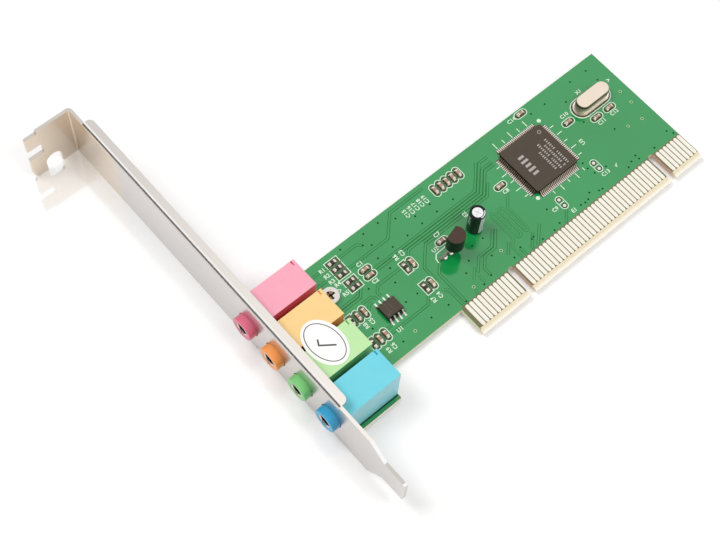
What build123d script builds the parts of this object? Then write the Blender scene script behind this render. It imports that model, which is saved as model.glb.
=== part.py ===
from build123d import *
import os

# A short PCI sound card: a circuit board with a keyed edge connector, a folded slot bracket,
# a row of four 3.5 mm audio jacks, and the chips and small parts between them.
# Millimetres. The origin is the centre of contact 1 on the component face, on the board's lower edge.
# +X runs along the board away from the bracket, +Y up the board, +Z out of the component face.

# Circuit board
board_thickness = 1.57
board_height = 31.4
board_foot_margin = 1.2
board_foot_length = 0.1
board_end_margin = 0.2
board_gap = 0.1

# Edge connector: first and last contact of each run, with a key notch between two runs
contact_runs = ((1, 11), (14, 49), (52, 58))
contact_pitch = 1.27
contact_gap = 0.25
contact_top = 0.25
contact_thickness = 0.05
tab_depth = 7.75
tab_end_margin = 1.1
tab_bevel_length = 1.2
tab_bevel_depth = 0.45
tab_bevel_gap = 0.3
key_width = 1.9
key_top = 0.8

# Audio jacks, from the lowest to the highest
jack_names = ("blue", "green", "orange", "pink")
jack_pitch = 9.6
jack_gap = 1.4
jack_depth = 15.8
jack_height = 12.2
jack_axis_height = 6.5
jack_top_margin = 0.45
jack_wall = 1.2
jack_front_wall = 2.7
jack_corner_length = 1.1
jack_corner_width = 3.6
jack_slit_length = 1.1
jack_slit_width = 0.3
jack_slit_depth = 0.5
jack_slit_margin = 0.6
barrel_radius = 3.1
barrel_reach = 2.1
bore_radius = 1.8
plug_clearance = 0.1

# Spring contacts inside each jack, and their pins through the board
spring_thickness = 0.25
spring_width = 0.8
spring_height = 2.4
spring_bow = 0.3
spring_length = 6.5
spring_end_gap = 0.3
spring_mouth_gap = 0.3
spring_groove_gap = 0.08
sleeve_leg_gap = 1.0
ring_leg_gap = 3.4

# Slot bracket, folded from one sheet
sheet = 0.86
bend_inner = 0.4
plate_offset = 43.83
bracket_length = 120.02
plate_below_jacks = 12.4
barrel_clearance = 0.2
flange_width = 2.8
flange_above_jacks = 2.93
flange_below_jacks = 2.2
flange_end_gap = 5.9
flange_corner = 1.4
neck_step = 0.4
tail_length = 11.6
tail_slope = 4.9
tail_width = 9.1
tail_step = 3.7
tail_corner = 1.0
screw_tab_length = 12.7
screw_tab_corner = 2.4
screw_tab_end_length = 3.3
screw_tab_end_step = 0.8
notch_radius = 2.21
notch_from_plate = 6.6
notch_height = 3.2
guide_slot_width = 3.8
guide_slot_depth = 4.0
guide_slot_height = 10.3
strap_width = 2.8
strap_relief = 0.8

# Screw that holds the board to the bracket's strap
screw_behind_jacks = 3.9
screw_radius = 1.25
screw_clearance = 0.05
screw_board_clearance = 0.35
screw_head_radius = 2.2
screw_head_height = 1.6
screw_recess_length = 2.4
screw_recess_width = 0.6
screw_recess_depth = 0.8
screw_pad_margin = 2.0

# Audio chip: a flat square package with leads on four sides, placed from the board's far end and top
audio_from_end = 32.7
audio_from_top = 13.8
audio_leads_a_side = 25
audio_lead_pitch = 0.5
audio_lead_width = 0.22
audio_lead_reach = 1.0
audio_row_margin = 1.0
audio_height = 1.4
audio_corner = 0.5

# Amplifier: a small package with leads on two sides, placed from the back of the jacks and the top
amplifier_from_jacks = 12.75
amplifier_from_top = 20.65
amplifier_leads_a_side = 4
amplifier_lead_pitch = 1.27
amplifier_lead_width = 0.42
amplifier_lead_reach = 1.05
amplifier_row_margin = 0.55
amplifier_width = 3.9
amplifier_height = 1.5
amplifier_corner = 0.1

# What both chip packages share
chip_stand = 0.1
chip_draft = 8
lead_thickness = 0.13
lead_foot = 0.5

# Voltage regulator: a half-round package on three splayed leads, which lean away from the jacks
regulator_from_jacks = 34.4
regulator_from_top = 18.7
regulator_turn = 15
regulator_radius = 2.35
regulator_flat = 1.35
regulator_height = 4.9
regulator_stand = 3.6
regulator_lead_pitch = 1.27
regulator_pad_pitch = 2.54
regulator_pad_shift = 1.3
regulator_lead_width = 0.45
regulator_lead_straight = 0.9

# Electrolytic capacitor: a sealed can in a printed sleeve
capacitor_from_jacks = 42.6
capacitor_from_top = 17.4
capacitor_radius = 2.0
capacitor_height = 7.6
capacitor_stand = 0.4
capacitor_sleeve = 0.12
capacitor_lip = 0.35
capacitor_lead_pitch = 1.5
capacitor_lead_radius = 0.25

# Crystal: a can with a rim, lying on the board's far corner
crystal_from_end = 10.5
crystal_from_top = 10.05
crystal_rim_length = 11.05
crystal_rim_margin = 0.4
crystal_rim_thickness = 0.45
crystal_width = 3.85
crystal_height = 3.5
crystal_lead_pitch = 4.88
crystal_lead_radius = 0.22

# Chip capacitors and chip resistors, all of one footprint
chip_length = 1.6
chip_width = 0.8
chip_end = 0.35
capacitor_chip_height = 0.75
resistor_chip_height = 0.45
chip_pitch = 1.9

# Rows of chips: what they are, place of the first one, direction of the row ("x" or "y") and pitch.
# Each chip lies across its row. The two numbers are measured as the list's name says.
rows_from_jacks_and_top = (
    ("rrr", 10.2, 2.65, "y", chip_pitch),
    ("rr", 10.4, 9.0, "y", chip_pitch),
    ("cc", 15.0, 9.0, "y", chip_pitch),
    ("rc", 22.85, 14.75, "x", chip_pitch),
    ("rcc", 3.8, 17.15, "x", chip_pitch),
    ("rcc", 3.95, 24.65, "x", chip_pitch),
    ("rc", 22.95, 21.75, "x", chip_pitch),
    ("ccccc", 42.2, 3.85, "x", chip_pitch),
    ("c", 34.1, 15.1, "y", chip_pitch),
)
rows_from_end_and_top = (
    ("c", 12.6, 14.4, "y", chip_pitch),
    ("c", 8.1, 14.4, "y", chip_pitch),
    ("c", 19.2, 10.85, "y", chip_pitch),
    ("c", 26.8, 1.4, "y", chip_pitch),
    ("c", 44.9, 13.2, "y", chip_pitch),
)

# Pins through the board, and the soldered joints under it
pin_clearance = 0.09
wire_sides = 8
joint_radius = 0.68
joint_height = 0.7
joint_sides = 6

# Oval inspection sticker across the tops of two jacks
sticker_length = 12.6
sticker_width = 9.0
sticker_thickness = 0.1
sticker_turn = 5
sticker_from_back = 7.95
sticker_below_gap = 1.9

# Places worked out from the sizes above
contact_width = contact_pitch - contact_gap
last_contact = contact_runs[-1][1]
tab_start = -contact_width / 2 - tab_end_margin
board_end = (last_contact - 1) * contact_pitch + contact_width / 2 + board_end_margin
board_bottom = -board_thickness

jack_width = jack_pitch - jack_gap
highest_jack = board_height - jack_top_margin - jack_width / 2
jack_rows = [highest_jack - jack_pitch * step for step in reversed(range(len(jack_names)))]

plate_outer = -plate_offset
plate_inner = plate_outer + sheet
bend_outer = bend_inner + sheet
jack_back = plate_inner + jack_depth
mouth = plate_outer - barrel_reach
cavity_front = plate_inner + jack_front_wall
cavity_back = jack_back - jack_wall

board_start = plate_inner + bend_inner + board_gap
foot_bottom = jack_rows[0] - jack_width / 2 - board_foot_margin
foot_end = jack_back + board_foot_length

plate_low = board_bottom - sheet
plate_high = jack_height + flange_above_jacks + sheet
neck_high = plate_high - neck_step
shoulder = jack_rows[0] - plate_below_jacks
tail_tip = shoulder - tail_length
bracket_top = tail_tip + bracket_length
flange_bottom = jack_rows[0] - flange_below_jacks
flange_top = bracket_top - flange_end_gap
tail_high = plate_high - tail_step
tail_low = tail_high - tail_width
strap_row = (jack_rows[-1] + jack_rows[-2]) / 2
screw_x = jack_back + screw_behind_jacks

spring_side = bore_radius + plug_clearance + spring_bow + spring_thickness / 2
tip_leg = cavity_back - spring_end_gap - spring_width / 2
ring_leg = cavity_front + ring_leg_gap
sleeve_leg = cavity_front + sleeve_leg_gap

pins = []
nodes = {}


def box(low, high):
    """A block between two opposite corners."""
    size = [b - a for a, b in zip(low, high)]
    return Pos(*low) * Box(*size, align=(Align.MIN, Align.MIN, Align.MIN))


def rod(x, y, low, high, radius):
    """An upright round rod."""
    return Pos(x, y, low) * Cylinder(radius, high - low, align=(Align.CENTER, Align.CENTER, Align.MIN))


def wire(x, y, low, high, radius):
    """A thin upright wire. It is out of sight, so a few flat sides do."""
    return Pos(x, y, low) * extrude(RegularPolygon(radius, wire_sides), high - low)


def outline(*points):
    """A flat face with straight sides."""
    return make_face(Polyline(*points, close=True))


def bent_strip(points, thickness):
    """The side view of a strip that follows a line of points, mitred at each bend."""
    path = [Vector(*point) for point in points]
    ways = [(b - a).normalized() for a, b in zip(path, path[1:])]
    sides = []
    for i in range(len(path)):
        before = ways[max(i - 1, 0)]
        after = ways[min(i, len(ways) - 1)]
        across = (before + after).normalized().rotate(Axis.Z, 90)
        sides.append(across * (thickness / 2 / across.dot(after.rotate(Axis.Z, 90))))
    left = [point + side for point, side in zip(path, sides)]
    right = [point - side for point, side in zip(path, sides)]
    return outline(*left, *reversed(right))


def bend(plane, length):
    """A quarter turn of the bracket's sheet about the plane's origin, from its x axis to its y axis."""
    outer = CenterArc((0, 0), bend_outer, 0, 90)
    inner = CenterArc((0, 0), bend_inner, 0, 90)
    ends = [Line(inner @ 0, outer @ 0), Line(inner @ 1, outer @ 1)]
    return extrude(plane * make_face([outer, inner] + ends), length)


def contact_x(number):
    """Place of an edge contact along the board."""
    return (number - 1) * contact_pitch


def wire_hole(x, y, radius):
    """Note a wire that passes through the board, so that it gets a hole and a soldered joint."""
    pins.append((x, y, RegularPolygon(radius + pin_clearance, wire_sides)))


def slot_hole(x, y, length, width):
    """Note a flat pin that passes through the board, so that it gets a slot and a soldered joint."""
    pins.append((x, y, Rectangle(length + 2 * pin_clearance, width + 2 * pin_clearance)))


def edge_contacts(low, high):
    """One thin pad for each contact, between two levels."""
    bottom = -tab_depth + tab_bevel_length + tab_bevel_gap
    half = contact_width / 2
    pad = box((-half, bottom, low), (half, contact_top, high))
    numbers = [n for first, last in contact_runs for n in range(first, last + 1)]
    return [Pos(contact_x(n), 0, 0) * pad for n in numbers]


def jack_housing(row):
    """Moulded body with a barrel through the bracket, a bore for the plug and a cavity open below."""
    half = jack_width / 2
    top_view = outline(
        (plate_inner, row - half),
        (jack_back, row - half),
        (jack_back, row + half - jack_corner_width),
        (jack_back - jack_corner_length, row + half),
        (plate_inner, row + half),
    )
    body = extrude(top_view, jack_height)
    body -= box(
        (cavity_front, row - half + jack_wall, 0),
        (cavity_back, row + half - jack_wall, jack_height - jack_wall),
    )
    slit_end = jack_back - jack_corner_length - jack_slit_margin
    slit_side = row + half - jack_slit_margin
    body -= box(
        (slit_end - jack_slit_length, slit_side - jack_slit_width, jack_height - jack_slit_depth),
        (slit_end, slit_side, jack_height),
    )
    axis = Plane((mouth, row, jack_axis_height), x_dir=(0, 1, 0), z_dir=(1, 0, 0))
    body += axis * extrude(Circle(barrel_radius), plate_inner - mouth)
    body -= axis * extrude(Circle(bore_radius), cavity_front - mouth)
    groove = spring_width / 2 + spring_groove_gap
    floor = jack_axis_height - bore_radius - plug_clearance - spring_thickness - spring_groove_gap
    body -= box((mouth, row - groove, floor), (cavity_front, row + groove, jack_axis_height))
    return body


def sleeve_contact(row):
    """Flat strip along the barrel's floor, bent down to a pin behind the front wall."""
    level = jack_axis_height - bore_radius - plug_clearance - spring_thickness / 2
    side_view = bent_strip(
        [(mouth + spring_mouth_gap, level), (sleeve_leg, level), (sleeve_leg, board_bottom)],
        spring_thickness,
    )
    plane = Plane((0, row + spring_width / 2, 0), x_dir=(1, 0, 0), z_dir=(0, -1, 0))
    slot_hole(sleeve_leg, row, spring_thickness, spring_width)
    return extrude(plane * side_view, spring_width)


def side_spring(row, side, leg):
    """Bowed strip beside the plug's path, with a leg down through the board."""
    start = leg - spring_width / 2
    if side > 0:
        start = leg + spring_width / 2 - spring_length
    far = spring_side
    near = spring_side - spring_bow
    top_view = bent_strip(
        [(start, far), (start + spring_length / 2, near), (start + spring_length, far)],
        spring_thickness,
    )
    low = jack_axis_height - spring_height / 2
    spring = Pos(0, 0, low) * extrude(top_view, spring_height)
    end = (start, start + spring_width)
    if side > 0:
        end = (start + spring_length - spring_width, start + spring_length)
    spring = spring - box((end[0], 0, low), (end[1], jack_width, low + spring_height))
    spring += box(
        (end[0], far - spring_thickness / 2, board_bottom),
        (end[1], far + spring_thickness / 2, low + spring_height),
    )
    slot_hole(leg, row + side * far, spring_width, spring_thickness)
    if side < 0:
        spring = mirror(spring, Plane.XZ)
    return Pos(0, row, 0) * spring


def bracket():
    """Slot bracket: plate with tail and jack holes, stiffening flange, screw tab and strap."""
    plate = outline(
        (tail_tip, tail_low),
        (tail_tip, tail_high),
        (shoulder - tail_slope, tail_high),
        (shoulder, plate_high),
        (flange_top, plate_high),
        (flange_top, neck_high),
        (bracket_top - bend_outer, neck_high),
        (bracket_top - bend_outer, plate_low),
        (shoulder, plate_low),
        (shoulder - tail_slope, tail_low),
    )
    tip = plate.vertices().sort_by(Axis.X)[0:2]
    plate = fillet(tip, tail_corner)
    body = extrude(Plane.YZ.offset(plate_outer) * plate, sheet)
    hole = Circle(barrel_radius + barrel_clearance)
    for row in jack_rows:
        body -= extrude(Plane.YZ.offset(plate_outer) * Pos(row, jack_axis_height) * hole, sheet)

    fold = plate_high - bend_outer
    body -= box((plate_outer, flange_bottom, fold), (plate_inner, flange_top, plate_high))
    fold_line = Plane((plate_outer + bend_outer, flange_bottom, fold), x_dir=(-1, 0, 0), z_dir=(0, 1, 0))
    body += bend(fold_line, flange_top - flange_bottom)
    flange = outline(
        (plate_outer + bend_outer, flange_bottom),
        (plate_outer + flange_width, flange_bottom),
        (plate_outer + flange_width, flange_top),
        (plate_outer + bend_outer, flange_top),
    )
    flange = fillet(flange.vertices().group_by(Axis.X)[-1], flange_corner)
    body += Pos(0, 0, plate_high - sheet) * extrude(flange, sheet)

    turn = Plane((plate_outer - bend_inner, bracket_top - bend_outer, plate_low))
    body += bend(turn, neck_high - plate_low)
    body += screw_tab()
    return body + strap() - strap_reliefs()


def screw_tab():
    """Outward tab that sits on the case's rail: a screw notch below and a guide slot at its end."""
    end = plate_outer - screw_tab_length
    tab = outline(
        (plate_outer - bend_inner, plate_low),
        (plate_outer - bend_inner, neck_high),
        (end + screw_tab_end_length, neck_high),
        (end + screw_tab_end_length, neck_high - screw_tab_end_step),
        (end, neck_high - screw_tab_end_step),
        (end, plate_low),
    )
    tab = fillet(tab.vertices().sort_by_distance((end, plate_low))[0], screw_tab_corner)
    notch_x = plate_outer - notch_from_plate
    tab -= Pos(notch_x, plate_low + notch_height) * Circle(notch_radius)
    tab -= Pos(notch_x, plate_low) * Rectangle(2 * notch_radius, 2 * notch_height)
    tab -= Pos(end, plate_low + guide_slot_height) * Rectangle(2 * guide_slot_depth, guide_slot_width)
    return extrude(Plane((0, bracket_top, 0), x_dir=(1, 0, 0), z_dir=(0, -1, 0)) * tab, sheet)


def strap():
    """Strap folded in from the plate's lower edge, under the board, with a threaded round end."""
    fold_start = plate_outer + bend_outer
    low = strap_row - strap_width / 2
    high = strap_row + strap_width / 2
    fold = Plane((fold_start, high, plate_low + bend_outer), x_dir=(-1, 0, 0), z_dir=(0, -1, 0))
    body = bend(fold, strap_width)
    body += box((fold_start, low, plate_low), (screw_x, high, board_bottom))
    body += rod(screw_x, strap_row, plate_low, board_bottom, screw_radius + screw_pad_margin)
    return body - rod(screw_x, strap_row, plate_low, board_bottom, screw_radius + screw_clearance)


def strap_reliefs():
    """The plate's corner at the strap's fold, and a relief cut on each side of it."""
    low = strap_row - strap_width / 2
    high = strap_row + strap_width / 2
    top = plate_low + bend_outer
    cuts = box((plate_outer, low - strap_relief, plate_low), (plate_inner, low, top))
    cuts += box((plate_outer, high, plate_low), (plate_inner, high + strap_relief, top))
    corner = box((plate_outer, low, plate_low), (plate_outer + bend_outer, high, top))
    round_corner = Plane((plate_outer + bend_outer, low, top), x_dir=(1, 0, 0), z_dir=(0, 1, 0))
    corner -= extrude(round_corner * Circle(bend_outer), strap_width)
    return cuts + corner


def board_screw():
    """Screw with a flat round head and a cross recess, through the board into the strap."""
    screw = rod(0, 0, 0, screw_head_height, screw_head_radius)
    screw += rod(0, 0, plate_low, 0, screw_radius)
    low = screw_head_height - screw_recess_depth
    long = screw_recess_length / 2
    wide = screw_recess_width / 2
    screw -= box((-long, -wide, low), (long, wide, screw_head_height))
    screw -= box((-wide, -long, low), (wide, long, screw_head_height))
    return Pos(screw_x, strap_row, 0) * screw


def circuit_board():
    """Board with its foot below the jacks, the keyed and bevelled tab, and a hole for every pin."""
    board = outline(
        (board_start, foot_bottom),
        (foot_end, foot_bottom),
        (foot_end, 0),
        (tab_start, 0),
        (tab_start, -tab_depth),
        (board_end, -tab_depth),
        (board_end, board_height),
        (board_start, board_height),
    )
    for run, following in zip(contact_runs, contact_runs[1:]):
        middle = contact_x((run[1] + following[0]) / 2)
        arc_height = key_top - key_width / 2
        board -= Pos(middle, arc_height) * Circle(key_width / 2)
        board -= Pos(middle, (arc_height - tab_depth) / 2) * Rectangle(key_width, arc_height + tab_depth)
    for x, y, hole in pins:
        board -= Pos(x, y) * hole
    board -= Pos(screw_x, strap_row) * Circle(screw_radius + screw_board_clearance)
    solid = extrude(board, -board_thickness)
    bevel = outline(
        (-tab_depth, 0),
        (tab_bevel_length - tab_depth, 0),
        (-tab_depth, -tab_bevel_depth),
    )
    along = Plane.YZ.offset(tab_start)
    cut = extrude(along * bevel, board_end - tab_start)
    middle = Plane.XY.offset(board_bottom / 2)
    return solid - cut - mirror(cut, middle)


def chip_package(length, width, height, corner):
    """Moulded chip with draft on both halves, parted at lead height."""
    face = Rectangle(length, width)
    face = Pos(0, 0, lead_height(height)) * chamfer(face.vertices(), corner)
    upper = extrude(face, height + chip_stand - lead_height(height), taper=chip_draft)
    lower = extrude(face, chip_stand - lead_height(height), taper=chip_draft)
    return upper + lower


def lead_height(height):
    """Level of a chip's parting line, where its leads come out."""
    return chip_stand + height / 2


def lead_row(count, pitch, width, reach, edge, height):
    """Gull-wing leads along one side of a chip that ends at the given distance from its middle."""
    knee = edge + reach - lead_foot
    side_view = outline(
        (edge, lead_height(height) + lead_thickness),
        (edge, lead_height(height) - lead_thickness),
        (knee, 0),
        (edge + reach, 0),
        (edge + reach, lead_thickness),
        (knee + lead_thickness, lead_thickness),
    )
    plane = Plane((0, width / 2, 0), x_dir=(1, 0, 0), z_dir=(0, -1, 0))
    lead = extrude(plane * side_view, width)
    first = -(count - 1) * pitch / 2
    return [Pos(0, first + i * pitch, 0) * lead for i in range(count)]


def audio_chip():
    """The square chip's body and its four rows of leads."""
    place = Pos(board_end - audio_from_end, board_height - audio_from_top)
    width = (audio_leads_a_side - 1) * audio_lead_pitch + 2 * audio_row_margin
    body = place * chip_package(width, width, audio_height, audio_corner)
    row = lead_row(
        audio_leads_a_side, audio_lead_pitch, audio_lead_width, audio_lead_reach, width / 2, audio_height
    )
    leads = [place * Rot(0, 0, turn) * lead for turn in (0, 90, 180, 270) for lead in row]
    return body, leads


def amplifier_chip():
    """The small chip's body and its two rows of leads."""
    place = Pos(jack_back + amplifier_from_jacks, board_height - amplifier_from_top)
    length = (amplifier_leads_a_side - 1) * amplifier_lead_pitch + 2 * amplifier_row_margin
    body = place * chip_package(length, amplifier_width, amplifier_height, amplifier_corner)
    row = lead_row(
        amplifier_leads_a_side,
        amplifier_lead_pitch,
        amplifier_lead_width,
        amplifier_lead_reach,
        amplifier_width / 2,
        amplifier_height,
    )
    leads = [place * Rot(0, 0, turn) * lead for turn in (90, 270) for lead in row]
    return body, leads


def regulator():
    """Half-round body above three leads that spread to their pads."""
    x = jack_back + regulator_from_jacks
    y = board_height - regulator_from_top
    size = 2 * regulator_radius
    flat = Pos(0, regulator_flat + regulator_radius) * Rectangle(size, size)
    body = extrude(Circle(regulator_radius) - flat, regulator_height)
    body = Pos(x, y, regulator_stand) * Rot(0, 0, regulator_turn) * body
    plane = Plane((x, y + regulator_lead_width / 2, 0), x_dir=(1, 0, 0), z_dir=(0, -1, 0))
    leads = []
    for step in (-1, 0, 1):
        lead = step * regulator_lead_pitch
        pad = step * regulator_pad_pitch - regulator_pad_shift
        route = [
            (lead, regulator_stand),
            (lead, regulator_stand - regulator_lead_straight),
            (pad, regulator_lead_straight),
            (pad, board_bottom),
        ]
        front_view = bent_strip(route, regulator_lead_width)
        leads.append(extrude(plane * front_view, regulator_lead_width))
        slot_hole(x + pad, y, regulator_lead_width, regulator_lead_width)
    return body, leads


def electrolytic():
    """Sealed can, printed sleeve with a lip over the can's edge, and two leads."""
    x = jack_back + capacitor_from_jacks
    y = board_height - capacitor_from_top
    inner = capacitor_radius - capacitor_sleeve
    bottom = capacitor_stand
    top = bottom + capacitor_height
    can = rod(x, y, bottom, top - capacitor_sleeve, inner)
    sleeve = rod(x, y, bottom, top, capacitor_radius) - rod(x, y, bottom, top - capacitor_sleeve, inner)
    sleeve -= rod(x, y, bottom, top, inner - capacitor_lip)
    leads = []
    for side in (-1, 1):
        lead_x = x + side * capacitor_lead_pitch / 2
        leads.append(wire(lead_x, y, board_bottom, bottom, capacitor_lead_radius))
        wire_hole(lead_x, y, capacitor_lead_radius)
    return can, sleeve, leads


def crystal():
    """Pressed can on its rim, with two leads."""
    x = board_end - crystal_from_end
    y = board_height - crystal_from_top
    length = crystal_rim_length - 2 * crystal_rim_margin
    rim_width = crystal_width + 2 * crystal_rim_margin
    rim = Pos(x, y) * extrude(SlotOverall(crystal_rim_length, rim_width), crystal_rim_thickness)
    can = extrude(SlotOverall(length, crystal_width), crystal_height - crystal_rim_thickness)
    can = Pos(x, y, crystal_rim_thickness) * can
    leads = []
    for side in (-1, 1):
        lead_x = x + side * crystal_lead_pitch / 2
        leads.append(wire(lead_x, y, board_bottom, 0, crystal_lead_radius))
        wire_hole(lead_x, y, crystal_lead_radius)
    return can, rim, leads


def chip_rows():
    """Bodies of the chip capacitors and resistors, and the metal caps on their ends."""
    rows = [(kinds, jack_back + x, y, way, pitch) for kinds, x, y, way, pitch in rows_from_jacks_and_top]
    rows += [(kinds, board_end - x, y, way, pitch) for kinds, x, y, way, pitch in rows_from_end_and_top]
    bodies = {"c": [], "r": []}
    ends = []
    heights = {"c": capacitor_chip_height, "r": resistor_chip_height}
    inner = chip_length / 2 - chip_end
    half = chip_width / 2
    for kinds, x, from_top, way, pitch in rows:
        for i, kind in enumerate(kinds):
            place = Pos(x + i * pitch, board_height - from_top) * Rot(0, 0, 90)
            if way == "y":
                place = Pos(x, board_height - from_top - i * pitch)
            bodies[kind].append(place * box((-inner, -half, 0), (inner, half, heights[kind])))
            ends.append(place * box((inner, -half, 0), (inner + chip_end, half, heights[kind])))
            ends.append(place * box((-inner - chip_end, -half, 0), (-inner, half, heights[kind])))
    return bodies["c"], bodies["r"], ends


def soldered_joints():
    """A mound of solder under the board on the end of every pin."""
    mound = extrude(RegularPolygon(joint_radius, joint_sides), -joint_height)
    return [Pos(x, y, board_bottom) * mound for x, y, hole in pins]


def sticker():
    """Thin paper oval across the tops of the second and third jacks."""
    middle = (jack_rows[1] + jack_rows[2]) / 2
    oval = Rot(0, 0, sticker_turn) * Ellipse(sticker_width / 2, sticker_length / 2)
    place = Pos(jack_back - sticker_from_back, middle - sticker_below_gap, jack_height)
    return place * extrude(oval, sticker_thickness)


for name, row in zip(jack_names, jack_rows):
    nodes[name + "_jack_housing"] = [jack_housing(row)]
    nodes[name + "_jack_sleeve_contact"] = [sleeve_contact(row)]
    nodes[name + "_jack_tip_spring"] = [side_spring(row, 1, tip_leg)]
    nodes[name + "_jack_ring_spring"] = [side_spring(row, -1, ring_leg)]

audio_body, audio_leads = audio_chip()
amplifier_body, amplifier_leads = amplifier_chip()
regulator_body, regulator_leads = regulator()
can, sleeve, capacitor_leads = electrolytic()
crystal_can, crystal_rim, crystal_leads = crystal()
capacitor_chips, resistor_chips, chip_ends = chip_rows()

nodes["audio_chip_body"] = [audio_body]
nodes["audio_chip_leads"] = audio_leads
nodes["amplifier_body"] = [amplifier_body]
nodes["amplifier_leads"] = amplifier_leads
nodes["regulator_body"] = [regulator_body]
nodes["regulator_leads"] = regulator_leads
nodes["capacitor_can"] = [can]
nodes["capacitor_sleeve"] = [sleeve]
nodes["capacitor_leads"] = capacitor_leads
nodes["crystal_can"] = [crystal_can]
nodes["crystal_rim"] = [crystal_rim]
nodes["crystal_leads"] = crystal_leads
nodes["chip_capacitors"] = capacitor_chips
nodes["chip_resistors"] = resistor_chips
nodes["chip_end_caps"] = chip_ends
nodes["circuit_board"] = [circuit_board()]
nodes["edge_contacts_front"] = edge_contacts(0, contact_thickness)
nodes["edge_contacts_back"] = edge_contacts(board_bottom - contact_thickness, board_bottom)
nodes["soldered_joints"] = soldered_joints()
nodes["slot_bracket"] = [bracket()]
nodes["board_screw"] = [board_screw()]
nodes["inspection_sticker"] = [sticker()]

os.makedirs("parts", exist_ok=True)
for name, pieces in nodes.items():
    solids = [solid for piece in pieces for solid in piece.solids()]
    export_step(Compound(children=solids), "parts/" + name + ".step")
    print(name, len(solids), round(sum(solid.volume for solid in solids), 3))
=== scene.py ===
import math

import bmesh
import bpy
from mathutils import Matrix, Vector


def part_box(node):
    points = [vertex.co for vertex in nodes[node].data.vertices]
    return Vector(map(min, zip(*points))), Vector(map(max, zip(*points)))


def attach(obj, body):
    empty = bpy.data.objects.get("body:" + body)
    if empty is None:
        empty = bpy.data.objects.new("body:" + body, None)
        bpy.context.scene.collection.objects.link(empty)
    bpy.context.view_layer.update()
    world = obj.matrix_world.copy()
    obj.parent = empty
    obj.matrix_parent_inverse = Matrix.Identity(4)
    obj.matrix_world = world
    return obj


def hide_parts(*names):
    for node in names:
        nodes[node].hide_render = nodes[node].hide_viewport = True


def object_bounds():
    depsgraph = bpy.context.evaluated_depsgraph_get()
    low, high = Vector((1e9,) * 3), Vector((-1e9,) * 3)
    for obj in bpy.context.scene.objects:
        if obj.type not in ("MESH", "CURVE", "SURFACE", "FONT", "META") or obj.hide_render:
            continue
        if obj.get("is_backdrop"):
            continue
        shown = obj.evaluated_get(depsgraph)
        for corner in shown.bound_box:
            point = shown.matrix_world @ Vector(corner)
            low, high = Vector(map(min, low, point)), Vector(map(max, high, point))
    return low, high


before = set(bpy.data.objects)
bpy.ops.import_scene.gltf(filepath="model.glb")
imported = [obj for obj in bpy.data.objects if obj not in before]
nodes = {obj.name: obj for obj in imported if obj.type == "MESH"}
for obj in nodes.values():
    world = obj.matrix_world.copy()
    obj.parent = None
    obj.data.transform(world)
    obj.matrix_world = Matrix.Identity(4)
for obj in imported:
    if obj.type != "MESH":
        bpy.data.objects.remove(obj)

cad_low, cad_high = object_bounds()
MM = 0.001
# points this close are one, in metres where meshes are welded and in mm along a path
WELD_DISTANCE = 1e-6
SAME_POINT = 1e-6

# heights of the thin layers on the board's face, in mm above the laminate
CLEARANCE_LEVEL = 0.02
TRACK_LEVEL = 0.035
PAD_LEVEL = 0.05
PRINT_LEVEL = 0.065
# print and marks on the parts themselves, in mm above what carries them
PRINT_LIFT = 0.02
MARK_LIFT = 0.01


def extent(node):
    """A CAD node's lowest and highest corners and its middle, in mm."""
    low, high = (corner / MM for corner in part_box(node))
    return low, high, (low + high) / 2


BOARD_UNDERSIDE = extent("circuit_board")[0].z
# the board's finger tab, read from the fingers: the mask starts above them and the ground bevel at their foot
MASK_EDGE = 0.25
BEVEL_EDGE = 0.02
TAB_MARGIN = 0.9
finger_low, finger_high, _ = extent("edge_contacts_front")
finger_top = finger_high.y + MASK_EDGE
finger_foot = finger_low.y + BEVEL_EDGE
tab_start = finger_low.x - TAB_MARGIN
# the bevel's painted highlight: it is painted pale this far below the fingers and beyond, and tan this near
# to them
BEVEL_PALE, BEVEL_TAN = 1.5, 0.5
# walls this far along the tab belong to its key notches
NOTCHES_FROM = 2.0
# the flange's own face is the bracket's highest; upward faces below it are sheared edges
SHEARED_BELOW = 0.1
flange_level = extent("slot_bracket")[1].z - SHEARED_BELOW
# where the jacks' barrels leave their housings, behind the bracket's plate
BARREL_LENGTH = 2.96
plate_back = extent("pink_jack_housing")[0].x + BARREL_LENGTH


def linear(colour):
    """An sRGB hex colour as the linear colour that a shader takes."""
    parts = [int(colour[i:i + 2], 16) / 255 for i in (0, 2, 4)]
    return [p / 12.92 if p <= 0.04045 else ((p + 0.055) / 1.055) ** 2.4 for p in parts] + [1.0]


def per_metre(size):
    """The texture scale that gives a pattern this many millimetres across."""
    return 1000.0 / size


def add(tree, kind, inputs=None, **settings):
    """One node with its own settings; each input is a value, or another node's output to link."""
    made = tree.nodes.new("ShaderNode" + kind)
    for name, value in settings.items():
        setattr(made, name, value)
    for socket, value in (inputs or {}).items():
        if isinstance(value, bpy.types.NodeSocket):
            tree.links.new(value, made.inputs[socket])
        else:
            made.inputs[socket].default_value = value
    return made


def surface(name):
    """An empty material, its tree and its surface coordinates."""
    material = bpy.data.materials.new(name)
    material.use_nodes = True
    tree = material.node_tree
    tree.nodes.clear()
    return material, tree, add(tree, "TexCoord").outputs["Object"]


# a Mix node's two colours are its inputs 6 and 7, and the mixed colour is its output 2
def grain_colours(tree, place, size, low, high, detail=3.0, stretch=(1, 1, 1)):
    """Two colours mixed by a noise of that size in mm; returns the colour and the noise itself."""
    spread = add(tree, "Mapping", {"Vector": place, "Scale": stretch})
    noise = add(tree, "TexNoise", {"Vector": spread.outputs["Vector"], "Scale": per_metre(size),
                                   "Detail": detail, "Roughness": 0.6})
    mixed = add(tree, "Mix", {"Factor": noise.outputs["Fac"], 6: linear(low), 7: linear(high)},
                data_type="RGBA")
    return mixed.outputs[2], noise.outputs["Fac"]
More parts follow.
